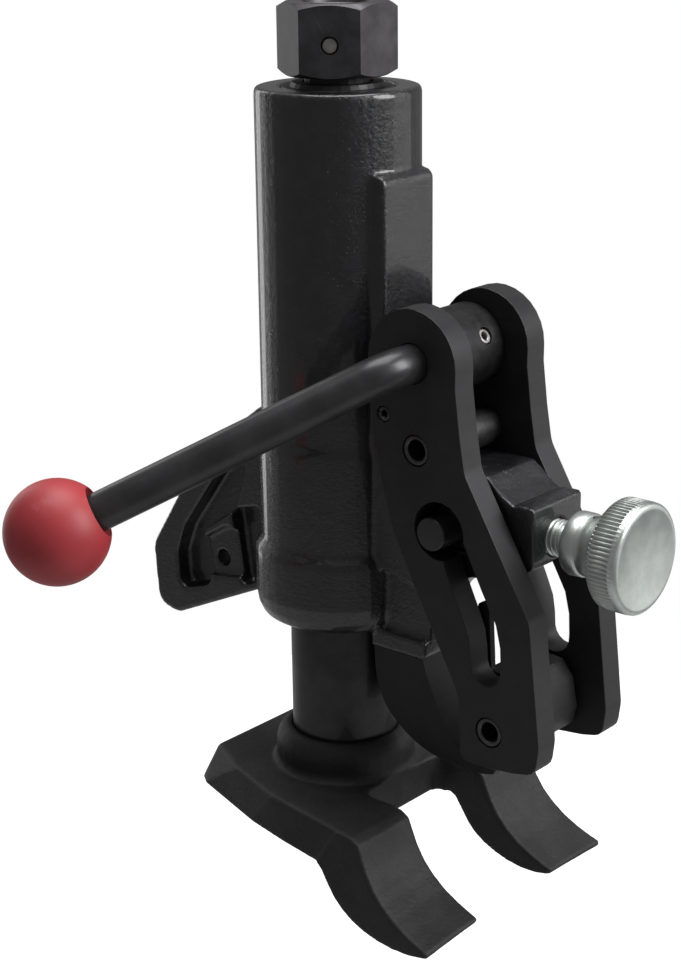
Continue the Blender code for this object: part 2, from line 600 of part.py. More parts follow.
def make_clamp():
    origin = (TRUNNION[0], 0.0, TRUNNION[1])
    make_side_plates()
    node(hollow_pin(UPPER_PIN, 5.5, 3.9, 26.1), "upper_cross_pin", STEEL, origin)
    node(hollow_pin(STOP_PIN, 2.75, 1.3, 26.1, 12), "stop_pin", STEEL, origin)
    node(hollow_pin(LOWER_PIN, 5.4, 3.7, 26.1), "lower_cross_pin", STEEL, origin)
    node(rod(7.0, -15.5, 15.5, 18, "Y", (UPPER_PIN[0], 0, UPPER_PIN[1]), 0.4, 5.9), "spacer_sleeve",
         STEEL, origin)

    # trunnion and its slide block
    block = prism(rounded([(54.8, 145.0, 1.2), (76.0, 145.0, 1.2), (76.0, 161.0, 1.2),
                           (54.8, 161.0, 1.2)], 3), -13.1, 13.1)
    block = cut(block, rod(6.5, -20.0, 20.0, 28, "Y", (TRUNNION[0], 0, TRUNNION[1])),
                rod(4.7, 70.7, 80.0, 24, "X", (0, 0, SCREW_Z)),
                rod(2.5, 155.0, 170.0, 14, "Z", (TRUNNION[0], 0, 0)))
    node(block, "trunnion_slide", STEEL, origin)
    node(rod(6.2, -26.3, 26.3, 22, "Y", (TRUNNION[0], 0, TRUNNION[1]), 0.5), "trunnion_pin",
         STEEL, origin)
    node(rod(2.2, 159.5, 160.8, 14, "Z", (TRUNNION[0], 0, 0)), "trunnion_grub", DARK_STEEL,
         (TRUNNION[0], 0, 160.0))

    # eccentric cam, lever and ball
    pivot = (PIVOT[0], 0.0, PIVOT[1])
    cam = rod(CAM_R, -15.4, 15.4, 36, "Y", (CAM_CENTRE[0], 0, CAM_CENTRE[1]), 0.6)
    out = Vector((8.2, 0.0, 5.2)).normalized()
    at = (PIVOT[0], 6.0, PIVOT[1])
    cam = cut(cam, rod(SHAFT_R + GAP, -30.0, 30.0, 20, "Y", pivot),
              turned_to(rod(3.2, -10.0, 20.0, 18), out, at))
    node(cam, "eccentric_cam", STEEL, pivot)
    pin_end = 9.2
    node(turned_to(rod(2.9, -9.4, pin_end, 18, chamfer=0.4, bore=1.5), out, at), "cam_pin", STEEL, pivot)

    corner = Vector((PIVOT[0], BEND_Y, PIVOT[1]))
    ball = Vector(BALL_CENTRE)
    away = (ball - corner).normalized()
    back = Vector((0.0, 1.0, 0.0))
    half = back.angle(away) / 2
    bend_r = 15.0
    t = bend_r / math.tan(half)
    mid = (back + away).normalized()
    c = corner + mid * (bend_r / math.sin(half))
    s = corner + back * t - c
    e = corner + away * t - c
    axis = s.cross(e).normalized()
    sweep = s.angle(e)
    bend = [c + Matrix.Rotation(sweep * k / 7, 3, axis) @ s for k in range(8)]
    path = [Vector((PIVOT[0], 31.0, PIVOT[1])), Vector((PIVOT[0], 30.3, PIVOT[1]))]
    radii = [SHAFT_R - 0.7, SHAFT_R]
    path += [Vector((PIVOT[0], 0.0, PIVOT[1]))] + bend
    radii += [SHAFT_R] * 9
    neck = ball - away * 9.0
    path += [corner + away * 60.0, neck - away * 0.6, neck]
    radii += [SHAFT_R, SHAFT_R, 5.0]
    path += [ball + away * 8.0]
    radii += [5.0]
    lever = swept(path, radii, 20)
    groove = cut(rod(9.0, 27.0, 28.6, 20, "Y", pivot), rod(6.0, 20.0, 40.0, 20, "Y", pivot))
    lever = cut(lever, groove, turned_to(rod(3.2, -12.0, 12.0, 18), out, at))
    node(lever, "lever_rod", DARK_STEEL, pivot)
    node(rod(9.8, 27.3, 28.3, 20, "Y", pivot, 0.0, 6.4), "shaft_clip", STEEL, pivot)

    knob = revolve(half_circle(BALL_R, 12), 30)
    bores = revolve([(0.0, -30.0), (9.2, -30.0), (9.2, -15.4), (SHAFT_R + GAP, -13.6),
                     (SHAFT_R + GAP, -8.7), (8.3, -8.7), (8.3, 8.6), (0.0, 8.6)], 20)
    knob = cut(knob, bores)
    node(turned_to(knob, away, ball), "ball_knob", RED, pivot)
    node(turned_to(rod(8.0, -8.4, 8.3, 20, chamfer=0.0, bore=5.3), away, ball), "knob_insert",
         BRONZE, pivot)

    # jaw on the lower pin
    hinge = (LOWER_PIN[0], 0.0, LOWER_PIN[1])
    face_x, teeth = 75.2, []
    for k in range(6):
        z = 75.0 + 4.0 * k
        teeth += [(face_x + 1.3, z), (face_x, z + 2.0)]
    jaw_outline = [(80.0, 72.0), (94.0, 72.6), (99.4, 77.0), (101.0, 84.0), (99.0, 95.0),
                   (94.5, 101.0), (80.0, 102.0)] + teeth[::-1]
    jaw = prism(jaw_outline, -JAW_HALF, JAW_HALF, [circle(*LOWER_PIN, 5.8, 20)])
    # two cheeks run up inside the side plates
    cheek = rounded([(75.6, 100.0, 0), (81.9, 100.0, 0), (80.6, 124.0, 2.0), (79.4, 127.6, 1.5),
                     (75.4, 126.4, 1.5)])
    jaw = add(jaw, prism(cheek, -JAW_HALF, -CHEEK_IN), prism(cheek, CHEEK_IN, JAW_HALF))
    node(break_edges(jaw, 0.4, 60.0), "clamp_jaw", BLACKED, hinge)
    node(rod(9.0, -15.6, -13.9, 20, "Y", hinge, 0.0, 5.8), "jaw_washer_near", STEEL, hinge)
    node(rod(9.0, 13.9, 15.6, 20, "Y", hinge, 0.0, 5.8), "jaw_washer_far", STEEL, hinge)


def make_hook():
    outer = [(22.7, 96.9), (23.1, 88.0), (24.6, 79.2), (29.0, 70.6), (35.9, 64.4), (43.0, 60.1),
             (51.1, 57.4), (63.0, 56.2), (72.9, 56.3), (79.6, 57.6)]
    inner = [(80.6, 59.2), (76.0, 60.4), (70.0, 60.9), (64.2, 63.0), (60.6, 66.4), (55.0, 74.6),
             (51.0, 82.5), (47.6, 90.8), (46.0, 96.9)]
    shank = [(46.0, 124.2), (28.5, 124.2), (28.5, 97.3)]
    hook = prism(outer + inner + shank, -HOOK_HALF, HOOK_HALF)
    break_edges(hook, 0.5, 45.0)
    hook = cut(hook, rod(3.3, -30.0, 30.0, 20, "Y", (37.0, 0, 107.0)),
               rod(3.3, -30.0, 30.0, 20, "Y", (37.0, 0, 118.0)))
    node(hook, "rim_hook", BLACKED, (37.0, 0, 107.0))
    for label, z in (("lower", 107.0), ("upper", 118.0)):
        node(rod(3.0, -10.2, 11.3, 20, "Y", (37.0, 0, z), 0.4), "hook_dowel_" + label, STEEL,
             (37.0, 0, z))


def make_thumb_screw():
    core = revolve([(0.0, 71.0), (4.4, 71.0), (4.4, 76.4), (THUMB_R - 1.1, 77.2),
                    (THUMB_R - 1.1, 107.4), (5.0, 107.4), (5.0, 131.0),
                    (0.0, 131.0)], 20, "X", (0, 0, SCREW_Z))
    ridge = helix_ridge(THUMB_R - 1.1, THUMB_R, THUMB_PITCH, 92.0, 107.0, 12)
    ridge.data.transform(Matrix.Translation(Vector((0, 0, SCREW_Z * MM))) @ Matrix.Rotation(math.pi / 2, 4, "Y"))
    screw = add(core, ridge)
    screw = cut(screw, rod(2.1, 140.0, 160.0, 14, "Z", (117.0, 0, 0)))
    axis = (TRUNNION[0], 0.0, SCREW_Z)
    node(screw, "thumb_screw", ZINC, axis)

    hub = revolve([(0.0, 107.9), (10.6, 107.9), (11.6, 108.9), (11.6, 113.4), (10.9, 114.1),
                   (11.1, 116.2), (13.8, 119.8), (16.8, 122.6), (18.8, 125.0), (17.0, 127.0),
                   (0.0, 127.0)], 32, "X", (0, 0, SCREW_Z))
    # knurled rim: every other spoke is set back by the knurl depth
    rim = revolve([(0.0, 124.6), (18.9, 124.6), (KNOB_R, 126.0), (KNOB_R, 135.4), (19.0, 136.7),
                   (14.6, 136.7), (13.8, 135.9), (0.0, 135.9)], 80, "X", (0, 0, SCREW_Z),
                  tooth=lambda i: KNURL_DEPTH if i in (2, 3) else 0.0)
    knob = cut(add(rim, hub), rod(5.3, 100.0, 131.4, 20, "X", (0, 0, SCREW_Z)))
    knob = cut(knob, rod(2.1, 140.0, 165.0, 14, "Z", (117.0, 0, 0)))
    node(knob, "thumb_knob", ZINC, axis)
    node(rod(1.8, 144.6, 161.4, 14, "Z", (117.0, 0, 0), 0.3), "thumb_pin", STEEL, axis)


def main():
    clear_scene()
    make_housing()
    make_drive()
    make_ram()
    make_foot()
    make_clamp()
    make_hook()
    make_thumb_screw()
    bpy.context.view_layer.update()


main()
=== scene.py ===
"""Looks of the bead breaker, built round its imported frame.

Each operator dresses one piece, or one group of like pieces, and the panel lists them all.
Lengths are metres; the frame's own axes are used: +Z along the barrel, +X to the front.
"""

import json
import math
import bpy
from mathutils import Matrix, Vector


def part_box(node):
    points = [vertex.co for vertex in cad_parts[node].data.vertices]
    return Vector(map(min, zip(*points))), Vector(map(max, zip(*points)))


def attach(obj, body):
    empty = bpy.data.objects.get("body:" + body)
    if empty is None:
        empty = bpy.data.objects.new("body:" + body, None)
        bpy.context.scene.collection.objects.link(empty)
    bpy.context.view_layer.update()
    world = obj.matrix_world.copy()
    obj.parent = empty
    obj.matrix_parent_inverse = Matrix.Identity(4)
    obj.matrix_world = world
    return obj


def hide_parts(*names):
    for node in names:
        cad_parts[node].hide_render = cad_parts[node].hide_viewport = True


bl_info = {
    "name": "Bead breaker looks",
    "version": (1, 0, 0),
    "blender": (4, 5, 0),
    "location": "3D View > Sidebar > Bead breaker",
    "description": "Detailed surfaces and studio for the screw-driven bead breaker",
    "category": "Object",
}

import bmesh
import bpy
from bpy.props import FloatProperty, FloatVectorProperty, PointerProperty
from mathutils import Matrix, Vector

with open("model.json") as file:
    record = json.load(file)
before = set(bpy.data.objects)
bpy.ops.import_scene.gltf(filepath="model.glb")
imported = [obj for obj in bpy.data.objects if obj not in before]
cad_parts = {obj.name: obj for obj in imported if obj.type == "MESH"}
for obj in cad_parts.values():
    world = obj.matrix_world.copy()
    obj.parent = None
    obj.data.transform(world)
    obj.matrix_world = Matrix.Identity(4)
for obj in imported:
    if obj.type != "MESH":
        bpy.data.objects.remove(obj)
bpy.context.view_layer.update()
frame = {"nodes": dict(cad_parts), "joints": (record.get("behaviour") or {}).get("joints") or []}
NODES = frame["nodes"]
MM = 0.001
JOINT_AT = {j["name"]: Vector(j["pos_m"]) for j in frame["joints"] if "pos_m" in j}


def middle(node):
    low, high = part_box(node)
    return (low + high) / 2


def size_of(node):
    low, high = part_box(node)
    return high - low


BARREL = JOINT_AT["screw_turn"]
PIVOT = JOINT_AT["lever_turn"]
TRUNNION = JOINT_AT["plate_swing"]
CENTRE_Y = 0.0


# ---------------------------------------------------------------- shader nodes

class Signal:
    """A socket that takes part in arithmetic, each operation adding its Math node."""

    def __init__(self, finish, socket):
        self.finish = finish
        self.socket = socket

    def _math(self, operation, first, second):
        made = self.finish.put("ShaderNodeMath", {"operation": operation}, {0: first, 1: second})
        return Signal(self.finish, made.outputs[0])

    def __add__(self, other):
        return self._math("ADD", self, other)

    def __sub__(self, other):
        return self._math("SUBTRACT", self, other)

    def __rsub__(self, other):
        return self._math("SUBTRACT", other, self)

    def __mul__(self, other):
        return self._math("MULTIPLY", self, other)

    __radd__ = __add__
    __rmul__ = __mul__

    def between(self, low, high, out_low=0.0, out_high=1.0):
        """Smooth step of this value from low to high."""
        made = self.finish.put("ShaderNodeMapRange", {"interpolation_type": "SMOOTHSTEP"},
                               {"Value": self, "From Min": low, "From Max": high,
                                "To Min": out_low, "To Max": out_high})
        return Signal(self.finish, made.outputs["Result"])


SHADER_SOCKETS = {"coat_weight": "Coat Weight", "coat_roughness": "Coat Roughness",
                  "specular": "Specular IOR Level"}


class Finish:
    """A procedural material, written as expressions on its object coordinates."""

    def __init__(self, name, roughness=0.5, metallic=0.0, **constants):
        self.material = bpy.data.materials.new(name)
        self.material.use_nodes = True
        self.tree = self.material.node_tree
        self.shader = self.tree.nodes["Principled BSDF"]
        self.shader.inputs["Roughness"].default_value = roughness
        self.shader.inputs["Metallic"].default_value = metallic
        for word, value in constants.items():
            self.shader.inputs[SHADER_SOCKETS[word]].default_value = value
        coordinates = self.put("ShaderNodeTexCoord", {}, {})
        self.place = coordinates.outputs["Object"]
        geometry = self.put("ShaderNodeNewGeometry", {}, {})
        self.edge = Signal(self, geometry.outputs["Pointiness"])
        self.facing = geometry.outputs["Normal"]

    def put(self, kind, settings, inputs):
        """Any node: its type, then its settings, then the values or links of its sockets."""
        made = self.tree.nodes.new(kind)
        for name, value in settings.items():
            if name == "stops":
                for stop, (at, shade) in zip(made.color_ramp.elements, value):
                    stop.position = at
                    stop.color = (shade, shade, shade, 1.0)
            else:
                setattr(made, name, value)
        for key, value in inputs.items():
            self.join(value, made.inputs[key])
        return made

    def join(self, value, socket):
        if isinstance(value, Signal):
            self.tree.links.new(value.socket, socket)
        elif isinstance(value, bpy.types.NodeSocket):
            self.tree.links.new(value, socket)
        else:
            socket.default_value = value

    def stretched(self, x, y, z):
        """Object coordinates scaled along each axis, in cycles per metre."""
        made = self.put("ShaderNodeVectorMath", {"operation": "MULTIPLY"}, {0: self.place, 1: (x, y, z)})
        return made.outputs[0]

    def noise(self, scale, detail=3.0, roughness=0.5, where=None):
        made = self.put("ShaderNodeTexNoise", {},
                        {"Vector": where or self.place, "Scale": scale, "Detail": detail,
                         "Roughness": roughness})
        return Signal(self, made.outputs["Fac"])

    def cells(self, scale, smooth=0.4):
        made = self.put("ShaderNodeTexVoronoi", {"feature": "SMOOTH_F1"},
                        {"Vector": self.place, "Scale": scale, "Smoothness": smooth})
        return Signal(self, made.outputs["Distance"])

    def normal_value(self, axis):
        made = self.put("ShaderNodeSeparateXYZ", {}, {0: self.facing})
        return Signal(self, made.outputs[axis])

    def blend(self, mask, below, above):
        """Colour mix: below where the mask is 0, above where it is 1."""
        made = self.put("ShaderNodeMix", {"data_type": "RGBA"}, {})
        self.join(mask, made.inputs[0])
        for value, socket in ((below, made.inputs[6]), (above, made.inputs[7])):
            self.join((*value, 1.0) if isinstance(value, tuple) else value, socket)
        return made.outputs[2]

    def colour(self, value):
        self.join((*value, 1.0) if isinstance(value, tuple) else value, self.shader.inputs["Base Color"])

    def roughness(self, value):
        self.join(value, self.shader.inputs["Roughness"])

    def metallic(self, value):
        self.join(value, self.shader.inputs["Metallic"])

    def relief(self, height, depth, strength=1.0):
        """Bump of the given depth in metres under the shading normal."""
        made = self.put("ShaderNodeBump", {}, {"Height": height, "Distance": depth, "Strength": strength})
        self.join(made.outputs["Normal"], self.shader.inputs["Normal"])


def scaled(colour, factor):
    return tuple(min(1.0, c * factor) for c in colour)


# ---------------------------------------------------------------- finishes

def casting_paint(settings):
    """Gloss black paint lying over a sand-cast skin."""
    f = Finish("casting_paint", coat_weight=settings.paint_coat, coat_roughness=0.11)
    swell = f.noise(settings.casting_grain * 0.22, 2.0)
    grain = f.noise(settings.casting_grain, 4.0, 0.62)
    fine = f.noise(settings.casting_grain * 3.1, 2.0)
    pits = f.cells(settings.casting_grain * 0.9).between(0.0, 0.16)
    dust = f.noise(settings.casting_grain * 0.35, 5.0, 0.7).between(0.55, 0.80)
    worn = f.edge.between(0.53, 0.60) * f.noise(700.0, 4.0).between(0.42, 0.62)
    base = f.blend(swell.between(0.35, 0.7), scaled(settings.paint_colour, 0.75),
                   scaled(settings.paint_colour, 1.35))
    base = f.blend(dust * 0.25, base, scaled(settings.paint_colour, 3.2))
    f.colour(f.blend(worn * 0.35, base, (0.16, 0.16, 0.165)))
    f.roughness(0.17 + 0.14 * grain + 0.10 * dust)
    f.relief(0.60 * grain + 0.20 * swell + 0.22 * fine + 0.35 * pits, 0.00110, 0.65)
    return f.material


def plate_black(settings):
    """Satin black on flame-cut plate, its cut edges slightly brighter."""
    f = Finish("plate_black")
    mottle = f.noise(90.0, 5.0, 0.6)
    grain = f.noise(1400.0, 3.0, 0.6)
    side_on = f.normal_value("Y")
    cut_edge = 1 - (side_on * side_on).between(0.25, 0.85)
    drag = f.noise(1.0, 2.0, 0.5, f.stretched(420.0, 60.0, 420.0))
    rub = f.noise(160.0, 6.0, 0.72).between(0.60, 0.74)
    base = f.blend(mottle.between(0.3, 0.72), scaled(settings.plate_colour, 0.80),
                   scaled(settings.plate_colour, 1.25))
    base = f.blend(rub * 0.30, base, scaled(settings.plate_colour, 2.3))
    f.colour(f.blend(cut_edge * (0.35 + 0.35 * drag), base, scaled(settings.plate_colour, 2.8)))
    f.roughness(0.42 + 0.12 * mottle + 0.10 * grain - 0.08 * cut_edge)
    f.metallic(0.15 + 0.25 * cut_edge)
    f.relief(0.5 * grain + 0.5 * mottle + 0.6 * cut_edge * drag, 0.00016, 0.55)
    return f.material


def foot_black(settings):
    """Dull blackened skin of the forged foot, scuffed grey on its ridges."""
    f = Finish("foot_black")
    swell = f.noise(70.0, 3.0)
    grain = f.noise(620.0, 5.0, 0.66)
    scuff = f.noise(210.0, 6.0, 0.7).between(0.52, 0.72)
    ridge = f.edge.between(0.52, 0.60)
    base = f.blend(swell.between(0.3, 0.7), scaled(settings.foot_colour, 0.75),
                   scaled(settings.foot_colour, 1.3))
    base = f.blend(scuff * 0.35, base, scaled(settings.foot_colour, 2.4))
    f.colour(f.blend(ridge * (0.25 + 0.5 * scuff), base, scaled(settings.foot_colour, 4.0)))
    f.roughness(0.50 + 0.16 * grain - 0.10 * ridge)
    f.metallic(0.12 + 0.3 * ridge)
    f.relief(0.6 * grain + 0.4 * swell, 0.00080, 0.6)
    return f.material


def turned_steel(name, colour, roughness, turns_per_metre=2600.0, coat=0.0):
    """Oxidised steel with fine turning rings along Z, oily in patches."""
    f = Finish(name, coat_weight=coat)
    rings = f.noise(1.0, 2.0, 0.5, f.stretched(30.0, 30.0, turns_per_metre))
    film = f.noise(55.0, 4.0, 0.6)
    scratch = f.noise(1.0, 4.0, 0.7, f.stretched(900.0, 900.0, 26.0)).between(0.60, 0.78)
    worn = f.edge.between(0.52, 0.60)
    base = f.blend(film.between(0.3, 0.7), scaled(colour, 0.75), scaled(colour, 1.25))
    base = f.blend(scratch * 0.35, base, scaled(colour, 1.9))
    f.colour(f.blend(worn * 0.5, base, scaled(colour, 2.6)))
    f.roughness(roughness + 0.14 * film - 0.06 * scratch + 0.06 * rings)
    f.metallic(0.78 + 0.15 * worn)
    f.relief(0.5 * rings + 0.5 * scratch, 0.00007, 0.5)
    return f.material


def hexagon_steel(settings):
    """Dark oxide on the drive hexagon, with the drawn bar's upright grain, and a painted highlight on its
    upward faces.
    """
    f = Finish("hexagon_steel")
    grain = f.noise(1.0, 3.0, 0.6, f.stretched(1500.0, 1500.0, 45.0))
    film = f.noise(110.0, 5.0, 0.6)
    speck = f.cells(750.0).between(0.0, 0.10)
    # painted highlight: faces turned upward, the top and the upper chamfer, are painted lighter as if lit
    # from above
    crown = f.normal_value("Z").between(0.25, 0.9)
    worn = f.edge.between(0.52, 0.62) * film.between(0.35, 0.6)
    base = f.blend(film.between(0.3, 0.7), scaled(settings.hex_colour, 0.8),
                   scaled(settings.hex_colour, 1.25))
    base = f.blend(worn * 0.6, base, scaled(settings.hex_colour, 2.5))
    # the upward faces take a lighter colour here: painted highlight
    f.colour(f.blend(crown * 0.3, base, scaled(settings.hex_colour, 1.6)))
    f.roughness(0.36 + 0.12 * film + 0.08 * grain)
    f.metallic(0.85)
    f.relief(0.5 * grain + 0.3 * speck + 0.2 * film, 0.00009, 0.6)
    return f.material


def lever_black(settings):
    """Black-oxide round bar, drawn along its length, satin sheen."""
    f = Finish("lever_black", coat_weight=0.25, coat_roughness=0.22)
    film = f.noise(60.0, 4.0, 0.6)
    grain = f.noise(900.0, 3.0, 0.6)
    rub = f.noise(170.0, 6.0, 0.7).between(0.60, 0.75)
    base = f.blend(film.between(0.3, 0.7), scaled(settings.lever_colour, 0.8),
                   scaled(settings.lever_colour, 1.25))
    f.colour(f.blend(rub * 0.35, base, scaled(settings.lever_colour, 2.4)))
    f.roughness(0.30 + 0.12 * film + 0.06 * grain)
    f.metallic(0.45 + 0.2 * rub)
    f.relief(0.6 * grain + 0.4 * film, 0.00008, 0.5)
    return f.material


def ground_steel(name, colour, roughness=0.34):
    """Bare ground steel: fine cross grain, a little bloom."""
    f = Finish(name)
    grain = f.noise(1.0, 3.0, 0.6, f.stretched(900.0, 2600.0, 900.0))
    bloom = f.noise(240.0, 5.0, 0.65)
    base = f.blend(bloom.between(0.3, 0.75), scaled(colour, 0.78), scaled(colour, 1.15))
    f.colour(f.blend(bloom.between(0.62, 0.8) * 0.4, base, (0.18, 0.14, 0.11)))
    f.roughness(roughness + 0.14 * bloom + 0.06 * grain)
    f.metallic(1.0 - 0.15 * bloom)
    f.relief(grain, 0.00005, 0.6)
    return f.material


def zinc_bright(settings):
    """Bright zinc plate over turned steel, faintly clouded."""
    f = Finish("zinc_bright", specular=0.6)
    rings = f.noise(1.0, 2.0, 0.5, f.stretched(2600.0, 40.0, 40.0))
    cloud = f.noise(130.0, 5.0, 0.65)
    base = f.blend(cloud.between(0.3, 0.75), scaled(settings.zinc_colour, 0.86),
                   scaled(settings.zinc_colour, 1.06))
    f.colour(f.blend(cloud.between(0.62, 0.82) * 0.3, base, (0.52, 0.56, 0.58)))
    f.roughness(0.33 + 0.12 * cloud)
    f.metallic(0.94 + 0.06 * rings)
    f.relief(rings, 0.00004, 0.5)
    return f.material


def grip_red(settings):
    """Moulded phenolic ball: dull red with a faint flow pattern and handling marks."""
    f = Finish("grip_red", coat_weight=0.10, coat_roughness=0.35)
    flow = f.noise(38.0, 4.0, 0.55)
    grain = f.noise(1500.0, 3.0, 0.6)
    handling = f.noise(120.0, 6.0, 0.7).between(0.56, 0.76)
    base = f.blend(flow.between(0.3, 0.7), scaled(settings.grip_colour, 0.88),
                   scaled(settings.grip_colour, 1.08))
    f.colour(f.blend(handling * 0.30, base, (0.56, 0.17, 0.16)))
    f.roughness(0.46 + 0.10 * grain + 0.08 * handling)
    f.relief(0.6 * grain + 0.4 * flow, 0.00008, 0.5)
    return f.material


def bearing_bronze(settings):
    """Turned bronze with a thin darkened film."""
    f = Finish("bearing_bronze")
    rings = f.noise(1.0, 2.0, 0.5, f.stretched(40.0, 40.0, 2400.0))
    tarnish = f.noise(180.0, 5.0, 0.65).between(0.4, 0.75)
    f.colour(f.blend(tarnish * 0.6, tuple(settings.bronze_colour), scaled(settings.bronze_colour, 0.45)))
    f.roughness(0.30 + 0.2 * tarnish + 0.05 * rings)
    f.metallic(1.0 - 0.2 * tarnish)
    f.relief(rings, 0.00005, 0.6)
    return f.material


def seal_rubber():
    """Moulded black seal rubber with bloom."""
    f = Finish("seal_rubber")
    bloom = f.noise(300.0, 5.0, 0.6).between(0.45, 0.8)
    f.colour(f.blend(bloom * 0.4, (0.012, 0.012, 0.013), (0.05, 0.05, 0.052)))
    f.roughness(0.62 + 0.2 * bloom)
    f.relief(f.noise(1800.0, 2.0), 0.00006, 0.5)
    return f.material


# ---------------------------------------------------------------- mesh helpers

def new_piece(name, verts, faces, smooth_to=34.0):
    """A closed mesh piece from metre vertices, shaded smooth up to an angle in degrees."""
    mesh = bpy.data.meshes.new(name)
    mesh.from_pydata([tuple(v) for v in verts], [], faces)
    piece = bpy.data.objects.new(name, mesh)
    bpy.context.scene.collection.objects.link(piece)
    shade(piece, smooth_to)
    return piece


def shade(piece, smooth_to):
    mesh_bm = bmesh.new()
    mesh_bm.from_mesh(piece.data)
    bmesh.ops.remove_doubles(mesh_bm, verts=mesh_bm.verts, dist=1e-7)
    bmesh.ops.recalc_face_normals(mesh_bm, faces=mesh_bm.faces)
    limit = math.radians(smooth_to)
    for face in mesh_bm.faces:
        face.smooth = True
    for edge in mesh_bm.edges:
        edge.smooth = not (len(edge.link_faces) == 2 and edge.calc_face_angle(0.0) > limit)
    mesh_bm.to_mesh(piece.data)
    mesh_bm.free()


def frame_about(axis):
    """Rotation that stands +Z on the given direction."""
    return Vector((0, 0, 1)).rotation_difference(Vector(axis).normalized()).to_matrix().to_4x4()


def lathe(name, outline, at, axis=(0, 0, 1), segments=96, ripple=None, turn=0.0):
    """Closed (radius, height) outline in millimetres, spun about an axis through a point.

    ripple(index, angle) gives a change of radius in millimetres for knurls and flutes."""
    place = Matrix.Translation(at) @ frame_about(axis)
    verts, rings = [], []
    for index, (radius, height) in enumerate(outline):
        if radius < 1e-6:
            rings.append([len(verts)])
            verts.append(place @ Vector((0, 0, height * MM)))
            continue
        rings.append(range(len(verts), len(verts) + segments))
        for k in range(segments):
            angle = turn + 2 * math.pi * k / segments
            r = radius + (ripple(index, angle) if ripple else 0.0)
            verts.append(place @ Vector((r * math.cos(angle) * MM, r * math.sin(angle) * MM, height * MM)))
    faces = []
    for index, lower in enumerate(rings):
        upper = rings[(index + 1) % len(rings)]
        for k in range(segments):
            n = (k + 1) % segments
            if len(lower) == 1 and len(upper) == 1:
                break
            if len(lower) == 1:
                faces.append((lower[0], upper[k], upper[n]))
            elif len(upper) == 1:
                faces.append((lower[k], lower[n], upper[0]))
            else:
                faces.append((lower[k], lower[n], upper[n], upper[k]))
    return new_piece(name, verts, faces)


def arc(cx, cy, radius, start, end, steps=6):
    """Points of a rounded corner in a lathe outline, angles in degrees."""
    return [(cx + radius * math.cos(math.radians(start + (end - start) * k / steps)),
             cy + radius * math.sin(math.radians(start + (end - start) * k / steps)))
            for k in range(steps + 1)]


def rod_outline(radius, low, high):
    """Lathe outline of a plain solid rod, as used for drilling."""
    return [(0.0, low), (radius, low), (radius, high), (0.0, high)]


def applied(piece):
    """Bakes a piece's modifiers into its mesh."""
    graph = bpy.context.evaluated_depsgraph_get()
    graph.update()
    mesh = bpy.data.meshes.new_from_object(piece.evaluated_get(graph), depsgraph=graph)
    piece.modifiers.clear()
    piece.data = mesh
    return piece


def carve(piece, tool, operation="DIFFERENCE", smooth_to=34.0):
    """Exact Boolean with a tool that is then removed."""
    step = piece.modifiers.new("carve", "BOOLEAN")
    step.operation = operation
    step.solver = "EXACT"
    step.object = tool
    applied(piece)
    bpy.data.objects.remove(tool, do_unlink=True)
    shade(piece, smooth_to)
    return piece


def copy_of(node, name):
    """A welded working copy of a frame node, its flat faces made whole again."""
    piece = bpy.data.objects.new(name, NODES[node].data.copy())
    bpy.context.scene.collection.objects.link(piece)
    mesh_bm = bmesh.new()
    mesh_bm.from_mesh(piece.data)
    bmesh.ops.remove_doubles(mesh_bm, verts=mesh_bm.verts, dist=2e-6)
    bmesh.ops.dissolve_limit(mesh_bm, angle_limit=math.radians(0.4), verts=mesh_bm.verts, edges=mesh_bm.edges)
    mesh_bm.to_mesh(piece.data)
    mesh_bm.free()
    return piece


def softened(piece, width_mm, segments=3, angle=50.0):
    """Rounds the sharp edges, then lets the large faces own the shading."""
    bevel = piece.modifiers.new("round", "BEVEL")
    bevel.width = width_mm * MM
    bevel.segments = segments
    bevel.limit_method = "ANGLE"
    bevel.angle_limit = math.radians(angle)
    bevel.use_clamp_overlap = True
    applied(piece)
    shade(piece, 60.0)
    weigh = piece.modifiers.new("weigh", "WEIGHTED_NORMAL")
    weigh.keep_sharp = True
    return applied(piece)


def cast_skin(node, name, voxel_mm, passes, keep=0.5):
    """Turns a sharp-edged solid into a casting: every corner filleted by smoothing."""
    piece = copy_of(node, name)
    remesh = piece.modifiers.new("skin", "REMESH")
    remesh.mode = "VOXEL"
    remesh.voxel_size = voxel_mm * MM
    smooth = piece.modifiers.new("fillet", "SMOOTH")
    smooth.factor = keep
    smooth.iterations = passes
    applied(piece)
    shade(piece, 75.0)
    return piece


def bar_along(name, stations, segments=40):
    """Round bar through (point, radius in millimetres) stations, closed by flat ends."""
    points = [Vector(p) for p, _ in stations]
    side = Vector((0, 0, 1))
    verts, faces = [], []
    for i, point in enumerate(points):
        along = (points[min(i + 1, len(points) - 1)] - points[max(i - 1, 0)]).normalized()
        side = (side - along * side.dot(along)).normalized()
        across = along.cross(side)
        for k in range(segments):
            w = 2 * math.pi * k / segments
            verts.append(point + (side * math.cos(w) + across * math.sin(w)) * stations[i][1] * MM)
    for i in range(len(points) - 1):
        for k in range(segments):
            a, b = i * segments + k, i * segments + (k + 1) % segments
            faces.append((a, b, b + segments, a + segments))
    faces.append(tuple(range(segments)))
    faces.append(tuple((len(points) - 1) * segments + k for k in reversed(range(segments))))
    return new_piece(name, verts, faces)


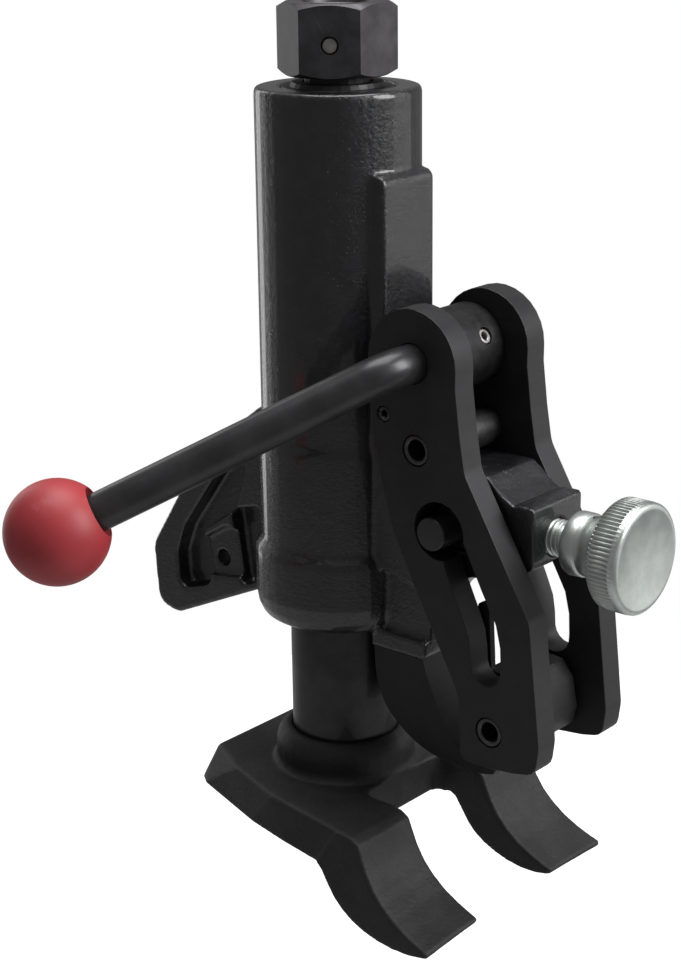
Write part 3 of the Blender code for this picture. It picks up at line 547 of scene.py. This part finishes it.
def thread(name, root, major, pitch, start, end, at, axis, per_turn=48):
    """Rolled thread ridge, right-handed, running out at both ends."""
    place = Matrix.Translation(at) @ frame_about(axis)
    steps = int((end - start - pitch) / pitch * per_turn)
    section = ((0.04, -0.25), (0.30, 0.82), (0.42, 1.0), (0.56, 1.0), (0.68, 0.82), (0.94, -0.25))
    verts, faces = [], []
    for k in range(steps + 1):
        angle = 2 * math.pi * k / per_turn
        fade = min(1.0, k / (0.6 * per_turn), (steps - k) / (0.6 * per_turn))
        for f, rise in section:
            r = root + (major - root) * (rise * fade if rise > 0 else rise)
            h = start + pitch * (k / per_turn + f)
            verts.append(place @ Vector((r * math.cos(angle) * MM, r * math.sin(angle) * MM, h * MM)))
    wide = len(section)
    for k in range(steps):
        for j in range(wide):
            a, b = wide * k + j, wide * k + (j + 1) % wide
            faces.append((a, b, b + wide, a + wide))
    faces.append(tuple(range(wide)))
    faces.append(tuple(wide * steps + j for j in reversed(range(wide))))
    return new_piece(name, verts, faces, 50.0)


def dress(piece, body, slot, material, *nodes):
    """Gives a finished piece its material and its body, and hides the frame nodes it stands for. The slot is
    not used.
    """
    piece.data.materials.clear()
    piece.data.materials.append(material)
    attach(piece, body)
    if nodes:
        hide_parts(*nodes)
    return piece


def paint(material, *nodes):
    """A frame node whose shape is right keeps it and takes the finish."""
    for node in nodes:
        NODES[node].data.materials.clear()
        NODES[node].data.materials.append(material)


# ---------------------------------------------------------------- sizes of the pieces

HEX_FLATS = 38.0           # millimetres across flats
HEX_TURN = -27.2           # direction of one hexagon corner, degrees
LEVER_R = 7.0
LEVER_BEND_R = 15.0
LEVER_BEND_Y = -40.0       # where the lever leaves the shaft line
CAM_PIN_Y = 6.0
CROSS_HOLE_R = 3.2         # holes for the hexagon's pin and the roller's pin
HEX_PIN_HALF = 18.6
DOWEL_HOLE_R = 3.3
THUMB_HOLE_R = 2.1
CAM_PIN_DIRECTION = Vector((8.2, 0.0, 5.2)).normalized()
GRIP = middle("ball_knob")
GRIP_R = 19.0
CLEAR = 0.3                # running clearance round shafts
KNURL_TEETH = 76
KNURL_DEPTH = 0.75


def x_of(node, end):
    """Front (1) or rear (0) of a node along X."""
    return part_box(node)[end].x


def lever_direction():
    """From the corner of the bend towards the middle of the grip."""
    corner = Vector((PIVOT.x, LEVER_BEND_Y * MM, PIVOT.z))
    aim = Vector(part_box("knob_insert")[0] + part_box("knob_insert")[1]) / 2
    return corner, (aim - corner).normalized()


def spline(points, steps=8):
    """Smooth open curve through (x, z) control points."""
    out = []
    padded = [points[0]] + list(points) + [points[-1]]
    for i in range(1, len(padded) - 2):
        p0, p1, p2, p3 = (Vector(p) for p in padded[i - 1:i + 3])
        for k in range(steps):
            t = k / steps
            out.append(0.5 * ((2 * p1) + (p2 - p0) * t + (2 * p0 - 5 * p1 + 4 * p2 - p3) * t * t
                              + (3 * p1 - p0 - 3 * p2 + p3) * t ** 3))
    return out + [Vector(points[-1])]


def flat_piece(name, outline, y0, y1):
    """Closed outline of (x, z) points in metres, given thickness along Y."""
    count = len(outline)
    verts = [(p[0], y, p[1]) for y in (y0, y1) for p in outline]
    faces = [tuple(range(count)), tuple(count + k for k in reversed(range(count)))]
    faces += [(k, (k + 1) % count, count + (k + 1) % count, count + k) for k in range(count)]
    return new_piece(name, verts, faces)


def hollow_pin(name, node, bore, slit_at=None):
    """Pressed hollow pin along Y: rolled lips and, on a spring pin, its slit."""
    at, size = middle(node), size_of(node)
    r, half = size.x / 2 / MM, size.y / 2 / MM
    outline = ([(bore + 0.5, -half)] + arc(r - 0.6, -half + 0.6, 0.6, -90, 0)
               + arc(r - 0.6, half - 0.6, 0.6, 0, 90)
               + [(bore + 0.5, half), (bore, half - 0.5), (bore, -half + 0.5)])
    piece = lathe(name, outline, at, (0, 1, 0), 64)
    if slit_at is not None:
        wide = 0.2 * MM
        out = Vector((math.cos(slit_at), 0, math.sin(slit_at)))
        tool = new_piece("slit", [(x, y, z) for x in (-wide, wide) for y in (-0.1, 0.1)
                                  for z in (0.0, 2 * r * MM)],
                         [(0, 1, 3, 2), (4, 6, 7, 5), (0, 4, 5, 1), (2, 3, 7, 6), (0, 2, 6, 4), (1, 5, 7, 3)])
        tool.data.transform(Matrix.Translation(at) @ frame_about(out))
        carve(piece, tool)
    return piece


# ---------------------------------------------------------------- pieces

def build_casting(looks):
    skin = cast_skin("housing", "barrel_casting", looks.mesh.casting_voxel, 2)
    dress(skin, "frame_body", "casting_paint", casting_paint(looks.finish), "housing")


def build_foot(looks):
    skin = cast_skin("foot", "forked_foot", looks.mesh.foot_voxel, 2)
    dress(skin, "ram_body", "foot_black", foot_black(looks.finish), "foot")


def build_ram(looks):
    low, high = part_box("ram")
    r = (high.x - low.x) / 2 / MM
    tall = (high.z - low.z) / MM
    seat, bore = 16.8, 13.0
    outline = ([(0.0, 0.0), (r - 1.0, 0.0), (r, 1.0)] + [(r, tall * k / 12) for k in range(1, 12)]
               + [(r, tall - 1.0), (r - 1.0, tall), (seat, tall), (seat, tall - 32.0),
                  (bore, tall - 32.0), (bore, 38.4), (0.0, 34.4)])
    tube = lathe("ram_tube", outline, (BARREL.x, BARREL.y, low.z), segments=128)
    steel = turned_steel("ram_steel", tuple(looks.finish.ram_colour), 0.30, 1500.0, 0.2)
    dress(tube, "ram_body", "dark_steel", steel, "ram")


def build_hexagon(looks):
    low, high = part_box("hex_head")
    base = Vector((BARREL.x, BARREL.y, low.z))
    tall = (high.z - low.z) / MM
    corner = HEX_FLATS / 2 / math.cos(math.pi / 6)
    block = lathe("drive_hexagon", [(0.0, 0.0), (corner, 0.0), (corner, tall), (0.0, tall)], base,
                  segments=6, turn=math.radians(HEX_TURN))
    crown = lathe("crown", [(0.0, -0.1), (18.3, -0.1), (23.4, 2.8), (23.4, tall - 2.8), (18.3, tall + 0.1),
                            (0.0, tall + 0.1)], base, segments=160)
    carve(block, crown, "INTERSECT")
    top_dish = lathe("dish", [(0.0, tall - 2.2), (11.2, tall - 2.2), (12.0, tall - 1.6), (12.9, tall + 0.4),
                              (0.0, tall + 0.4)], base, segments=96)
    neck = lathe("neck", [(0.0, -1.0), (9.3, -1.0), (9.3, 19.6), (0.0, 19.6)], base, segments=64)
    pin_turn = math.radians(HEX_TURN - 30.0)
    out = Vector((math.cos(pin_turn), math.sin(pin_turn), 0.0))
    at = middle("hex_pin")
    hole = lathe("hole", rod_outline(CROSS_HOLE_R, -30.0, 30.0), at, out, 48)
    for tool in (top_dish, neck, hole):
        carve(block, tool)
    softened(block, 0.35, 3, 26.0)
    dress(block, "screw_body", "dark_steel", hexagon_steel(looks.finish), "hex_head")
    half = HEX_PIN_HALF
    pin = lathe("hexagon_pin", [(0.0, -half), (1.3, -half + 0.1)] + arc(2.0, -half + 0.9, 0.9, -75, 0)
                + arc(2.0, half - 0.9, 0.9, 0, 75) + [(1.3, half - 0.1), (0.0, half)], at, out, 48)
    dress(pin, "screw_body", "ground_steel", ground_steel("pin_steel_hexagon", (0.36, 0.35, 0.34)), "hex_pin")


def build_plates(looks):
    finish = plate_black(looks.finish)
    for side in ("near", "far"):
        node = "side_plate_" + side
        plate = softened(copy_of(node, "clamp_plate_" + side), 0.16, 2, 40.0)
        dress(plate, "plates_body", "plate_black", finish, node)


def build_pins(looks):
    steel = ground_steel("pin_steel", tuple(looks.finish.pin_colour))
    upper = hollow_pin("upper_pin", "upper_cross_pin", 3.9)
    dress(upper, "plates_body", "ground_steel", steel, "upper_cross_pin")
    lower = hollow_pin("lower_pin", "lower_cross_pin", 3.7)
    dress(lower, "plates_body", "ground_steel", steel, "lower_cross_pin")
    stop = hollow_pin("lever_stop_pin", "stop_pin", 1.3, math.radians(160))
    dress(stop, "plates_body", "ground_steel", steel, "stop_pin")
    sleeve = hollow_pin("spacer_tube", "spacer_sleeve", 5.9)
    dress(sleeve, "plates_body", "ground_steel", steel, "spacer_sleeve")
    at, size = middle("trunnion_pin"), size_of("trunnion_pin")
    r, half = size.x / 2 / MM, size.y / 2 / MM
    outline = ([(0.0, -half)] + arc(r - 0.8, -half + 0.8, 0.8, -90, 0)
               + arc(r - 0.8, half - 0.8, 0.8, 0, 90) + [(0.0, half)])
    trunnion = lathe("trunnion_bar", outline, at, (0, 1, 0), 72)
    dress(trunnion, "trunnion_body", "ground_steel", lever_black(looks.finish), "trunnion_pin")
    block = softened(copy_of("trunnion_slide", "trunnion_block"), 0.3, 2, 50.0)
    dress(block, "trunnion_body", "ground_steel", steel, "trunnion_slide")


def build_cam(looks):
    at, size = middle("eccentric_cam"), size_of("eccentric_cam")
    r, half = size.x / 2 / MM, size.y / 2 / MM
    outline = ([(0.0, -half)] + arc(r - 0.7, -half + 0.7, 0.7, -90, 0) + arc(r - 0.7, half - 0.7, 0.7, 0, 90)
               + [(0.0, half)])
    cam = lathe("eccentric_roller", outline, at, (0, 1, 0), 128)
    shaft = lathe("shaft", rod_outline(LEVER_R + CLEAR, -30.0, 30.0),
                  (PIVOT.x, CENTRE_Y, PIVOT.z), (0, 1, 0), 64)
    carve(cam, shaft)
    seat = Vector((PIVOT.x, CAM_PIN_Y * MM, PIVOT.z))
    hole = lathe("hole", rod_outline(CROSS_HOLE_R, -10.0, 20.0), seat, CAM_PIN_DIRECTION, 48)
    carve(cam, hole)
    dress(cam, "lever_body", "ground_steel", ground_steel("cam_steel", tuple(looks.finish.cam_colour), 0.40),
          "eccentric_cam")
    pin = lathe("roller_pin", [(1.5, -9.4)] + arc(2.4, -8.9, 0.5, -90, 0) + arc(2.4, 8.7, 0.5, 0, 90)
                + [(1.8, 9.2), (1.5, 8.9)], seat, CAM_PIN_DIRECTION, 48)
    dress(pin, "lever_body", "ground_steel", ground_steel("pin_steel_cam", (0.42, 0.41, 0.40)), "cam_pin")


def build_lever(looks):
    corner, away = lever_direction()
    back = Vector((0.0, 1.0, 0.0))
    half = back.angle(away) / 2
    reach = LEVER_BEND_R * MM / math.tan(half)
    centre = corner + (back + away).normalized() * (LEVER_BEND_R * MM / math.sin(half))
    start = corner + back * reach - centre
    end = corner + away * reach - centre
    axis = start.cross(end).normalized()
    sweep = start.angle(end)
    bends = 18
    on_shaft = ((31.0, 6.3), (30.3, 7.0), (28.61, 7.0), (28.6, 6.1), (27.0, 6.1), (26.99, 7.0), (0.0, 7.0))
    stations = [(Vector((PIVOT.x, y * MM, PIVOT.z)), r) for y, r in on_shaft]
    stations += [(centre + Matrix.Rotation(sweep * k / bends, 3, axis) @ start, LEVER_R)
                 for k in range(bends + 1)]
    neck = GRIP - away * 9.0 * MM
    stations += [(corner + away * 60.0 * MM, LEVER_R), (neck - away * 0.6 * MM, LEVER_R), (neck, 5.0),
                 (GRIP + away * 8.0 * MM, 5.0)]
    bar = bar_along("lever_bar", stations)
    seat = Vector((PIVOT.x, CAM_PIN_Y * MM, PIVOT.z))
    carve(bar, lathe("hole", rod_outline(CROSS_HOLE_R, -12.0, 12.0), seat,
                     CAM_PIN_DIRECTION, 48))
    dress(bar, "lever_body", "dark_steel", lever_black(looks.finish), "lever_rod")
    clip_low, clip_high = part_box("shaft_clip")
    section = [(6.4, -0.5), (9.6, -0.5), (9.8, -0.3), (9.8, 0.3), (9.6, 0.5), (6.4, 0.5)]
    ring = lathe("retaining_clip", section,
                 (PIVOT.x, (clip_low.y + clip_high.y) / 2, PIVOT.z), (0, 1, 0), 96)
    gap = flat_piece("gap", [Vector((PIVOT.x + x * MM, PIVOT.z + z * MM))
                             for x, z in ((-4.2, -12.0), (4.2, -12.0), (3.0, 0.0), (-3.0, 0.0))],
                     clip_low.y - MM, clip_high.y + MM)
    carve(ring, gap)
    dress(ring, "lever_body", "ground_steel", ground_steel("clip_steel", (0.20, 0.20, 0.21)), "shaft_clip")


def build_grip(looks):
    _, away = lever_direction()
    mouth, bore, socket = 9.2, LEVER_R + CLEAR, 8.3
    rim = math.degrees(math.asin(mouth / GRIP_R)) - 90.0 + 2.0
    outline = arc(0.0, 0.0, GRIP_R, rim, 90.0, 60)
    outline[-1] = (0.0, GRIP_R)
    outline += [(0.0, 8.6), (socket, 8.6), (socket, -8.7), (bore, -8.7), (bore, -13.6), (mouth - 0.5, -15.0),
                (mouth, -15.6), (mouth + 0.1, -16.2)]
    ball = lathe("lever_grip", outline, GRIP, away, 128)
    dress(ball, "lever_body", "red_grip", grip_red(looks.finish), "ball_knob")


def build_thumb_screw(looks):
    zinc = zinc_bright(looks.finish)
    back, tip = x_of("thumb_screw", 0), x_of("thumb_screw", 1)
    axis_at = Vector((0.0, TRUNNION.y, TRUNNION.z))
    core_r, major, pitch = 5.7, 6.8, 2.0
    at = axis_at + Vector((back, 0, 0))
    length = (tip - back) / MM
    core = lathe("thumb_screw_shank", [(0.0, 0.0), (4.4, 0.0), (4.4, 5.4), (core_r, 6.2), (core_r, 36.4),
                                       (5.0, 36.4), (5.0, length), (0.0, length)], at, (1, 0, 0), 96)
    ridge = thread("ridge", core_r, major, pitch, 18.0, 36.2, at, (1, 0, 0))
    carve(core, ridge, "UNION", 50.0)
    hole_x = middle("thumb_pin").x
    hole_at = Vector((hole_x, TRUNNION.y, TRUNNION.z))
    hole_shape = rod_outline(THUMB_HOLE_R, -14.0, 14.0)
    carve(core, lathe("hole", hole_shape, hole_at, (0, 0, 1), 40), smooth_to=50.0)
    dress(core, "thumb_body", "zinc_plate", zinc, "thumb_screw")

    low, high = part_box("thumb_knob")
    r = (high.z - low.z) / 2 / MM
    wide = (high.x - low.x) / MM
    hub = [(5.3, 0.0), (10.6, 0.0), (11.3, 0.3), (11.6, 1.0), (11.6, 5.4), (11.3, 6.0), (10.9, 6.3),
           (10.9, 6.9), (11.0, 8.2), (11.6, 9.6), (12.8, 11.2), (14.6, 13.0), (16.6, 14.8), (18.2, 16.2)]
    rim = [(18.8, 16.7), (19.4, 17.3), (r, 18.2), (r, 21.6), (r, 25.2), (r, 25.9)]
    knurled = range(len(hub) + 1, len(hub) + len(rim) - 1)
    nose = arc(r - 1.9, wide - 1.9, 1.9, 25, 90, 6)
    face = [(r - 2.6, wide), (r - 3.2, wide - 0.25), (0.0, wide - 0.25), (0.0, 23.5), (5.3, 23.5)]

    def knurl(index, angle):
        groove = 0.5 - 0.5 * math.cos(KNURL_TEETH * angle)
        return -KNURL_DEPTH * groove ** 1.4 if index in knurled else 0.0

    knob = lathe("thumb_screw_knob", hub + rim + nose + face, axis_at + Vector((low.x, 0, 0)), (1, 0, 0),
                 KNURL_TEETH * 8, knurl)
    carve(knob, lathe("hole", hole_shape, hole_at, (0, 0, 1), 40), smooth_to=38.0)
    dress(knob, "thumb_body", "zinc_plate", zinc, "thumb_knob")


def build_hook(looks):
    low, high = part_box("rim_hook")
    rise = low.z / MM - 56.2       # the outline below is in millimetres from the frame's datum
    run = low.x / MM - 22.7
    outer = [(22.7, 96.9), (23.1, 88.0), (24.6, 79.2), (29.0, 70.6), (35.9, 64.4), (43.0, 60.1), (51.1, 57.4),
             (63.0, 56.2), (72.9, 56.3), (79.6, 57.6)]
    inner = [(80.6, 59.2), (76.0, 60.4), (70.0, 60.9), (64.2, 63.0), (60.6, 66.4), (55.0, 74.6), (51.0, 82.5),
             (47.6, 90.8), (46.0, 96.9)]
    shank = [Vector(p) for p in ((46.0, 124.2), (28.5, 124.2), (28.5, 97.3))]
    outline = spline(outer, 6) + spline(inner, 6) + shank
    low_z = min(p.y for p in outline)
    lift = max(0.0, 56.2 - low_z)
    outline = [Vector(((p.x + run) * MM, (p.y + rise + lift) * MM)) for p in outline]
    hook = flat_piece("flange_hook", outline, low.y, high.y)
    for dowel in ("hook_dowel_lower", "hook_dowel_upper"):
        at = middle(dowel)
        carve(hook, lathe("hole", rod_outline(DOWEL_HOLE_R, -30.0, 30.0), at, (0, 1, 0), 40))
    softened(hook, 0.55, 3, 45.0)
    dress(hook, "frame_body", "plate_black", plate_black(looks.finish), "rim_hook")


def build_jaw(looks):
    jaw = softened(copy_of("clamp_jaw", "serrated_jaw"), 0.2, 2, 40.0)
    dress(jaw, "jaw_body", "plate_black", plate_black(looks.finish), "clamp_jaw")


def finish_inner_pieces(looks):
    """Pieces inside the barrel and small hardware keep their frame shapes and take their finishes."""
    steel = ground_steel("race_steel", (0.52, 0.52, 0.53), 0.24)
    dark = turned_steel("screw_steel", (0.040, 0.039, 0.040), 0.34)
    bronze = bearing_bronze(looks.finish)
    paint(steel, "thrust_race_lower", "thrust_race_upper", "hook_dowel_lower", "hook_dowel_upper",
          "thumb_pin", *("thrust_ball_%d" % k for k in range(1, 9)))
    paint(dark, "drive_screw", "bearing_cap", "ram_key", "nut_grub_near", "nut_grub_far", "foot_set_screw",
          "trunnion_grub", "jaw_washer_near", "jaw_washer_far")
    paint(bronze, "thrust_cage", "neck_bush", "guide_bush", "ram_nut", "knob_insert")
    paint(seal_rubber(), "wiper_seal")


# ---------------------------------------------------------------- stage

FLOOR_R = 420.0            # millimetres, wider than any view of the object
FLOOR_GAP = 1.0            # millimetres between the foot at full stroke and the floor
FLOOR_THICK = 0.2
RAM_STROKE = 95.0          # millimetres
CAMERA_AT = Vector((0.413, -0.5501, 0.3088))
CAMERA_TURN = math.radians(40.93)      # looks this far round from +Y towards -X
CAMERA_DOWN = math.radians(17.94)
CAMERA_ROLL = math.radians(-0.72)
CAMERA_LENS = 105.4
CAMERA_SHIFT = (-0.0031, 0.0033)


def softbox(name, at, aim, wide, tall, power, colour=(1.0, 1.0, 1.0)):
    lamp = bpy.data.lights.new(name, "AREA")
    lamp.shape = "RECTANGLE"
    lamp.size = wide
    lamp.size_y = tall
    lamp.energy = power
    lamp.color = colour
    holder = bpy.data.objects.new(name, lamp)
    holder.location = at
    holder.rotation_euler = (Vector(aim) - Vector(at)).to_track_quat("-Z", "Y").to_euler()
    bpy.context.scene.collection.objects.link(holder)
    return holder


def build_stage(looks):
    # the floor lies below the ram at full stroke, so that no pose sinks into it
    floor_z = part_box("foot")[0].z - (RAM_STROKE + FLOOR_GAP) * MM
    floor = lathe("studio_floor", [(0.0, 0.0), (FLOOR_R, 0.0), (FLOOR_R, -FLOOR_THICK), (0.0, -FLOOR_THICK)],
                  (BARREL.x, BARREL.y, floor_z), segments=128)
    f = Finish("studio_paper", roughness=0.9, specular=0.0)
    fibre = f.noise(420.0, 4.0)
    f.colour(f.blend(fibre, scaled(looks.stage.floor_colour, 0.99), tuple(looks.stage.floor_colour)))
    f.shader.inputs["Emission Color"].default_value = (1.0, 1.0, 1.0, 1.0)
    # the lit floor is bright to look at, but throws little light up at the object
    ray = f.put("ShaderNodeLightPath", {}, {})
    f.join(looks.stage.floor_glow * Signal(f, ray.outputs["Is Camera Ray"]),
           f.shader.inputs["Emission Strength"])
    floor.data.materials.append(f.material)

    # the room is white to look at, and lights the object only softly
    world = bpy.data.worlds.new("studio_air")
    world.use_nodes = True
    nodes, links = world.node_tree.nodes, world.node_tree.links
    air = nodes["Background"]
    air.inputs["Color"].default_value = (1.0, 1.0, 1.0, 1.0)
    ray = nodes.new("ShaderNodeLightPath")
    seen = nodes.new("ShaderNodeMapRange")
    seen.inputs["To Min"].default_value = looks.stage.air
    seen.inputs["To Max"].default_value = 1.0
    links.new(ray.outputs["Is Camera Ray"], seen.inputs["Value"])
    links.new(seen.outputs["Result"], air.inputs["Strength"])
    bpy.context.scene.world = world
    bpy.context.scene.view_settings.view_transform = "Standard"

    right = Vector((math.cos(CAMERA_TURN), math.sin(CAMERA_TURN), 0.0))
    ahead = Vector((-math.sin(CAMERA_TURN), math.cos(CAMERA_TURN), 0.0))
    up = Vector((0, 0, 1))
    aim = (-0.03, 0.0, 0.08)
    key = looks.stage.key_power
    softbox("key_box", -ahead * 0.35 + right * 1.0 + up * 0.75, aim, 0.5, 0.9, key)
    softbox("left_strip", ahead * 1.0 - right * 0.8 + up * 0.30, aim, 0.40, 1.5, key * 0.20)
    softbox("right_card", right * 1.15 + ahead * 0.20 + up * 0.10, aim, 0.9, 1.0, key * 0.13)
    softbox("top_box", ahead * 0.15 + up * 1.3, aim, 0.9, 0.9, key * 0.9)

    forward = (ahead * math.cos(CAMERA_DOWN) - up * math.sin(CAMERA_DOWN)).normalized()
    over = right.cross(forward)
    rolled_right = right * math.cos(CAMERA_ROLL) + over * math.sin(CAMERA_ROLL)
    rolled_up = over * math.cos(CAMERA_ROLL) - right * math.sin(CAMERA_ROLL)
    data = bpy.data.cameras.new("studio_camera")
    data.sensor_fit = "HORIZONTAL"
    data.sensor_width = 36.0
    data.lens = CAMERA_LENS
    data.shift_x, data.shift_y = CAMERA_SHIFT
    camera = bpy.data.objects.new("studio_camera", data)
    basis = Matrix((rolled_right, rolled_up, -forward)).transposed().to_4x4()
    camera.matrix_world = Matrix.Translation(CAMERA_AT) @ basis
    bpy.context.scene.collection.objects.link(camera)
    bpy.context.scene.camera = camera


# ---------------------------------------------------------------- properties, operators and panel

def colour_property(name, description, default):
    return FloatVectorProperty(name=name, description=description, default=default, size=3,
                               subtype="COLOR", min=0.0, max=1.0)


class FinishSettings(bpy.types.PropertyGroup):
    paint_colour: colour_property("Casting paint", "Colour of the gloss paint on the barrel",
                                  (0.011, 0.011, 0.013))
    plate_colour: colour_property("Plate black", "Colour of the clamp plates and hook",
                                  (0.0170, 0.0163, 0.0175))
    foot_colour: colour_property("Foot black", "Colour of the forked foot", (0.016, 0.0155, 0.016))
    hex_colour: colour_property("Hexagon oxide", "Colour of the drive hexagon", (0.080, 0.076, 0.082))
    ram_colour: colour_property("Ram oxide", "Colour of the ram", (0.046, 0.045, 0.046))
    lever_colour: colour_property("Lever black", "Colour of the lever bar", (0.042, 0.040, 0.043))
    pin_colour: colour_property("Pin steel", "Colour of the hollow pins", (0.105, 0.102, 0.102))
    cam_colour: colour_property("Cam steel", "Colour of the eccentric roller", (0.045, 0.044, 0.046))
    zinc_colour: colour_property("Zinc", "Colour of the zinc-plated thumb screw", (0.70, 0.745, 0.72))
    grip_colour: colour_property("Grip red", "Colour of the ball grip", (0.45, 0.040, 0.048))
    bronze_colour: colour_property("Bronze", "Colour of the bushes and the nut", (0.52, 0.35, 0.16))
    paint_coat: FloatProperty(name="Paint gloss", description="Clear layer over the casting paint",
                              default=0.75, min=0.0, max=1.0, subtype="FACTOR")
    casting_grain: FloatProperty(name="Casting grain", description="Sand grains per metre in the cast skin",
                                 default=650.0, min=50.0, max=3000.0)


class MeshSettings(bpy.types.PropertyGroup):
    casting_voxel: FloatProperty(name="Casting skin",
                                 description="Mesh size of the barrel casting, millimetres",
                                 default=0.85, min=0.5, max=4.0)
    foot_voxel: FloatProperty(name="Foot skin", description="Mesh size of the foot, millimetres",
                              default=0.8, min=0.5, max=4.0)


class StageSettings(bpy.types.PropertyGroup):
    floor_colour: colour_property("Floor", "Colour of the studio floor", (0.40, 0.40, 0.40))
    key_power: FloatProperty(name="Key light", description="Power of the main softbox", default=14.0,
                             min=0.0, unit="POWER")
    air: FloatProperty(name="Ambient", description="How strongly the room lights the object", default=0.17,
                       min=0.0, max=10.0)
    floor_glow: FloatProperty(name="Floor glow", description="How bright the lit floor looks", default=0.90,
                              min=0.0, max=10.0)


class BeadBreakerLooks(bpy.types.PropertyGroup):
    finish: PointerProperty(type=FinishSettings, name="Finishes", description="Colours of the finishes")
    mesh: PointerProperty(type=MeshSettings, name="Meshes", description="Fineness of the cast skins")
    stage: PointerProperty(type=StageSettings, name="Stage", description="Floor and lights")


class PieceOperator:
    """Shared run of every operator: build with the scene's settings, and fail loudly."""
    bl_options = {"REGISTER", "UNDO"}

    def execute(self, context):
        self.build(context.scene.bead_breaker)
        return {"FINISHED"}


class OBJECT_OT_bb_casting(PieceOperator, bpy.types.Operator):
    """Barrel, rail, lug and fin as one painted sand casting"""
    bl_idname = "object.bb_casting"
    bl_label = "Barrel casting"
    build = staticmethod(build_casting)


class OBJECT_OT_bb_foot(PieceOperator, bpy.types.Operator):
    """Forked foot with its rounded forged edges"""
    bl_idname = "object.bb_foot"
    bl_label = "Forked foot"
    build = staticmethod(build_foot)


class OBJECT_OT_bb_ram(PieceOperator, bpy.types.Operator):
    """Turned ram that carries the foot"""
    bl_idname = "object.bb_ram"
    bl_label = "Ram"
    build = staticmethod(build_ram)


class OBJECT_OT_bb_hexagon(PieceOperator, bpy.types.Operator):
    """Drive hexagon with its chamfer arcs, dish and cross pin"""
    bl_idname = "object.bb_hexagon"
    bl_label = "Drive hexagon"
    build = staticmethod(build_hexagon)


class OBJECT_OT_bb_plates(PieceOperator, bpy.types.Operator):
    """Two clamp plates with rounded edges"""
    bl_idname = "object.bb_plates"
    bl_label = "Clamp plates"
    build = staticmethod(build_plates)


class OBJECT_OT_bb_pins(PieceOperator, bpy.types.Operator):
    """Cross pins, trunnion bar and its block"""
    bl_idname = "object.bb_pins"
    bl_label = "Pins and trunnion"
    build = staticmethod(build_pins)


class OBJECT_OT_bb_cam(PieceOperator, bpy.types.Operator):
    """Eccentric roller and its pin"""
    bl_idname = "object.bb_cam"
    bl_label = "Eccentric roller"
    build = staticmethod(build_cam)


class OBJECT_OT_bb_lever(PieceOperator, bpy.types.Operator):
    """Bent lever bar with its clip"""
    bl_idname = "object.bb_lever"
    bl_label = "Lever bar"
    build = staticmethod(build_lever)


class OBJECT_OT_bb_grip(PieceOperator, bpy.types.Operator):
    """Red ball grip with its counterbore"""
    bl_idname = "object.bb_grip"
    bl_label = "Ball grip"
    build = staticmethod(build_grip)


class OBJECT_OT_bb_thumb_screw(PieceOperator, bpy.types.Operator):
    """Zinc thumb screw: rolled thread and knurled knob"""
    bl_idname = "object.bb_thumb_screw"
    bl_label = "Thumb screw"
    build = staticmethod(build_thumb_screw)


class OBJECT_OT_bb_hook(PieceOperator, bpy.types.Operator):
    """Flange hook under the barrel"""
    bl_idname = "object.bb_hook"
    bl_label = "Flange hook"
    build = staticmethod(build_hook)


class OBJECT_OT_bb_jaw(PieceOperator, bpy.types.Operator):
    """Serrated jaw on the lower pin"""
    bl_idname = "object.bb_jaw"
    bl_label = "Serrated jaw"
    build = staticmethod(build_jaw)


class OBJECT_OT_bb_inner(PieceOperator, bpy.types.Operator):
    """Finishes of the bearing, bushes, screws and washers"""
    bl_idname = "object.bb_inner"
    bl_label = "Inner pieces"
    build = staticmethod(finish_inner_pieces)


class OBJECT_OT_bb_stage(PieceOperator, bpy.types.Operator):
    """Pale floor, soft boxes and camera"""
    bl_idname = "object.bb_stage"
    bl_label = "Stage"
    build = staticmethod(build_stage)


OPERATORS = (OBJECT_OT_bb_casting, OBJECT_OT_bb_foot, OBJECT_OT_bb_ram, OBJECT_OT_bb_hexagon,
             OBJECT_OT_bb_plates, OBJECT_OT_bb_pins, OBJECT_OT_bb_cam, OBJECT_OT_bb_lever,
             OBJECT_OT_bb_grip, OBJECT_OT_bb_thumb_screw, OBJECT_OT_bb_hook, OBJECT_OT_bb_jaw,
             OBJECT_OT_bb_inner, OBJECT_OT_bb_stage)


class VIEW3D_PT_bead_breaker(bpy.types.Panel):
    """Lists the pieces, their finishes and the stage"""
    bl_label = "Bead breaker"
    bl_idname = "VIEW3D_PT_bead_breaker"
    bl_space_type = "VIEW_3D"
    bl_region_type = "UI"
    bl_category = "Bead breaker"

    def draw(self, context):
        column = self.layout.column(align=True)
        for operator in OPERATORS:
            column.operator(operator.bl_idname)
        looks = context.scene.bead_breaker
        for group in (looks.finish, looks.mesh, looks.stage):
            for name in group.__annotations__:
                self.layout.prop(group, name)


CLASSES = (FinishSettings, MeshSettings, StageSettings, BeadBreakerLooks, *OPERATORS, VIEW3D_PT_bead_breaker)


def register():
    for kind in CLASSES:
        bpy.utils.register_class(kind)
    bpy.types.Scene.bead_breaker = PointerProperty(type=BeadBreakerLooks)


def unregister():
    del bpy.types.Scene.bead_breaker
    for kind in reversed(CLASSES):
        bpy.utils.unregister_class(kind)


def main():
    register()
    for operator in OPERATORS:
        group, call = operator.bl_idname.split(".")
        getattr(getattr(bpy.ops, group), call)()
    bpy.context.view_layer.update()


if __name__ == "__main__":
    main()
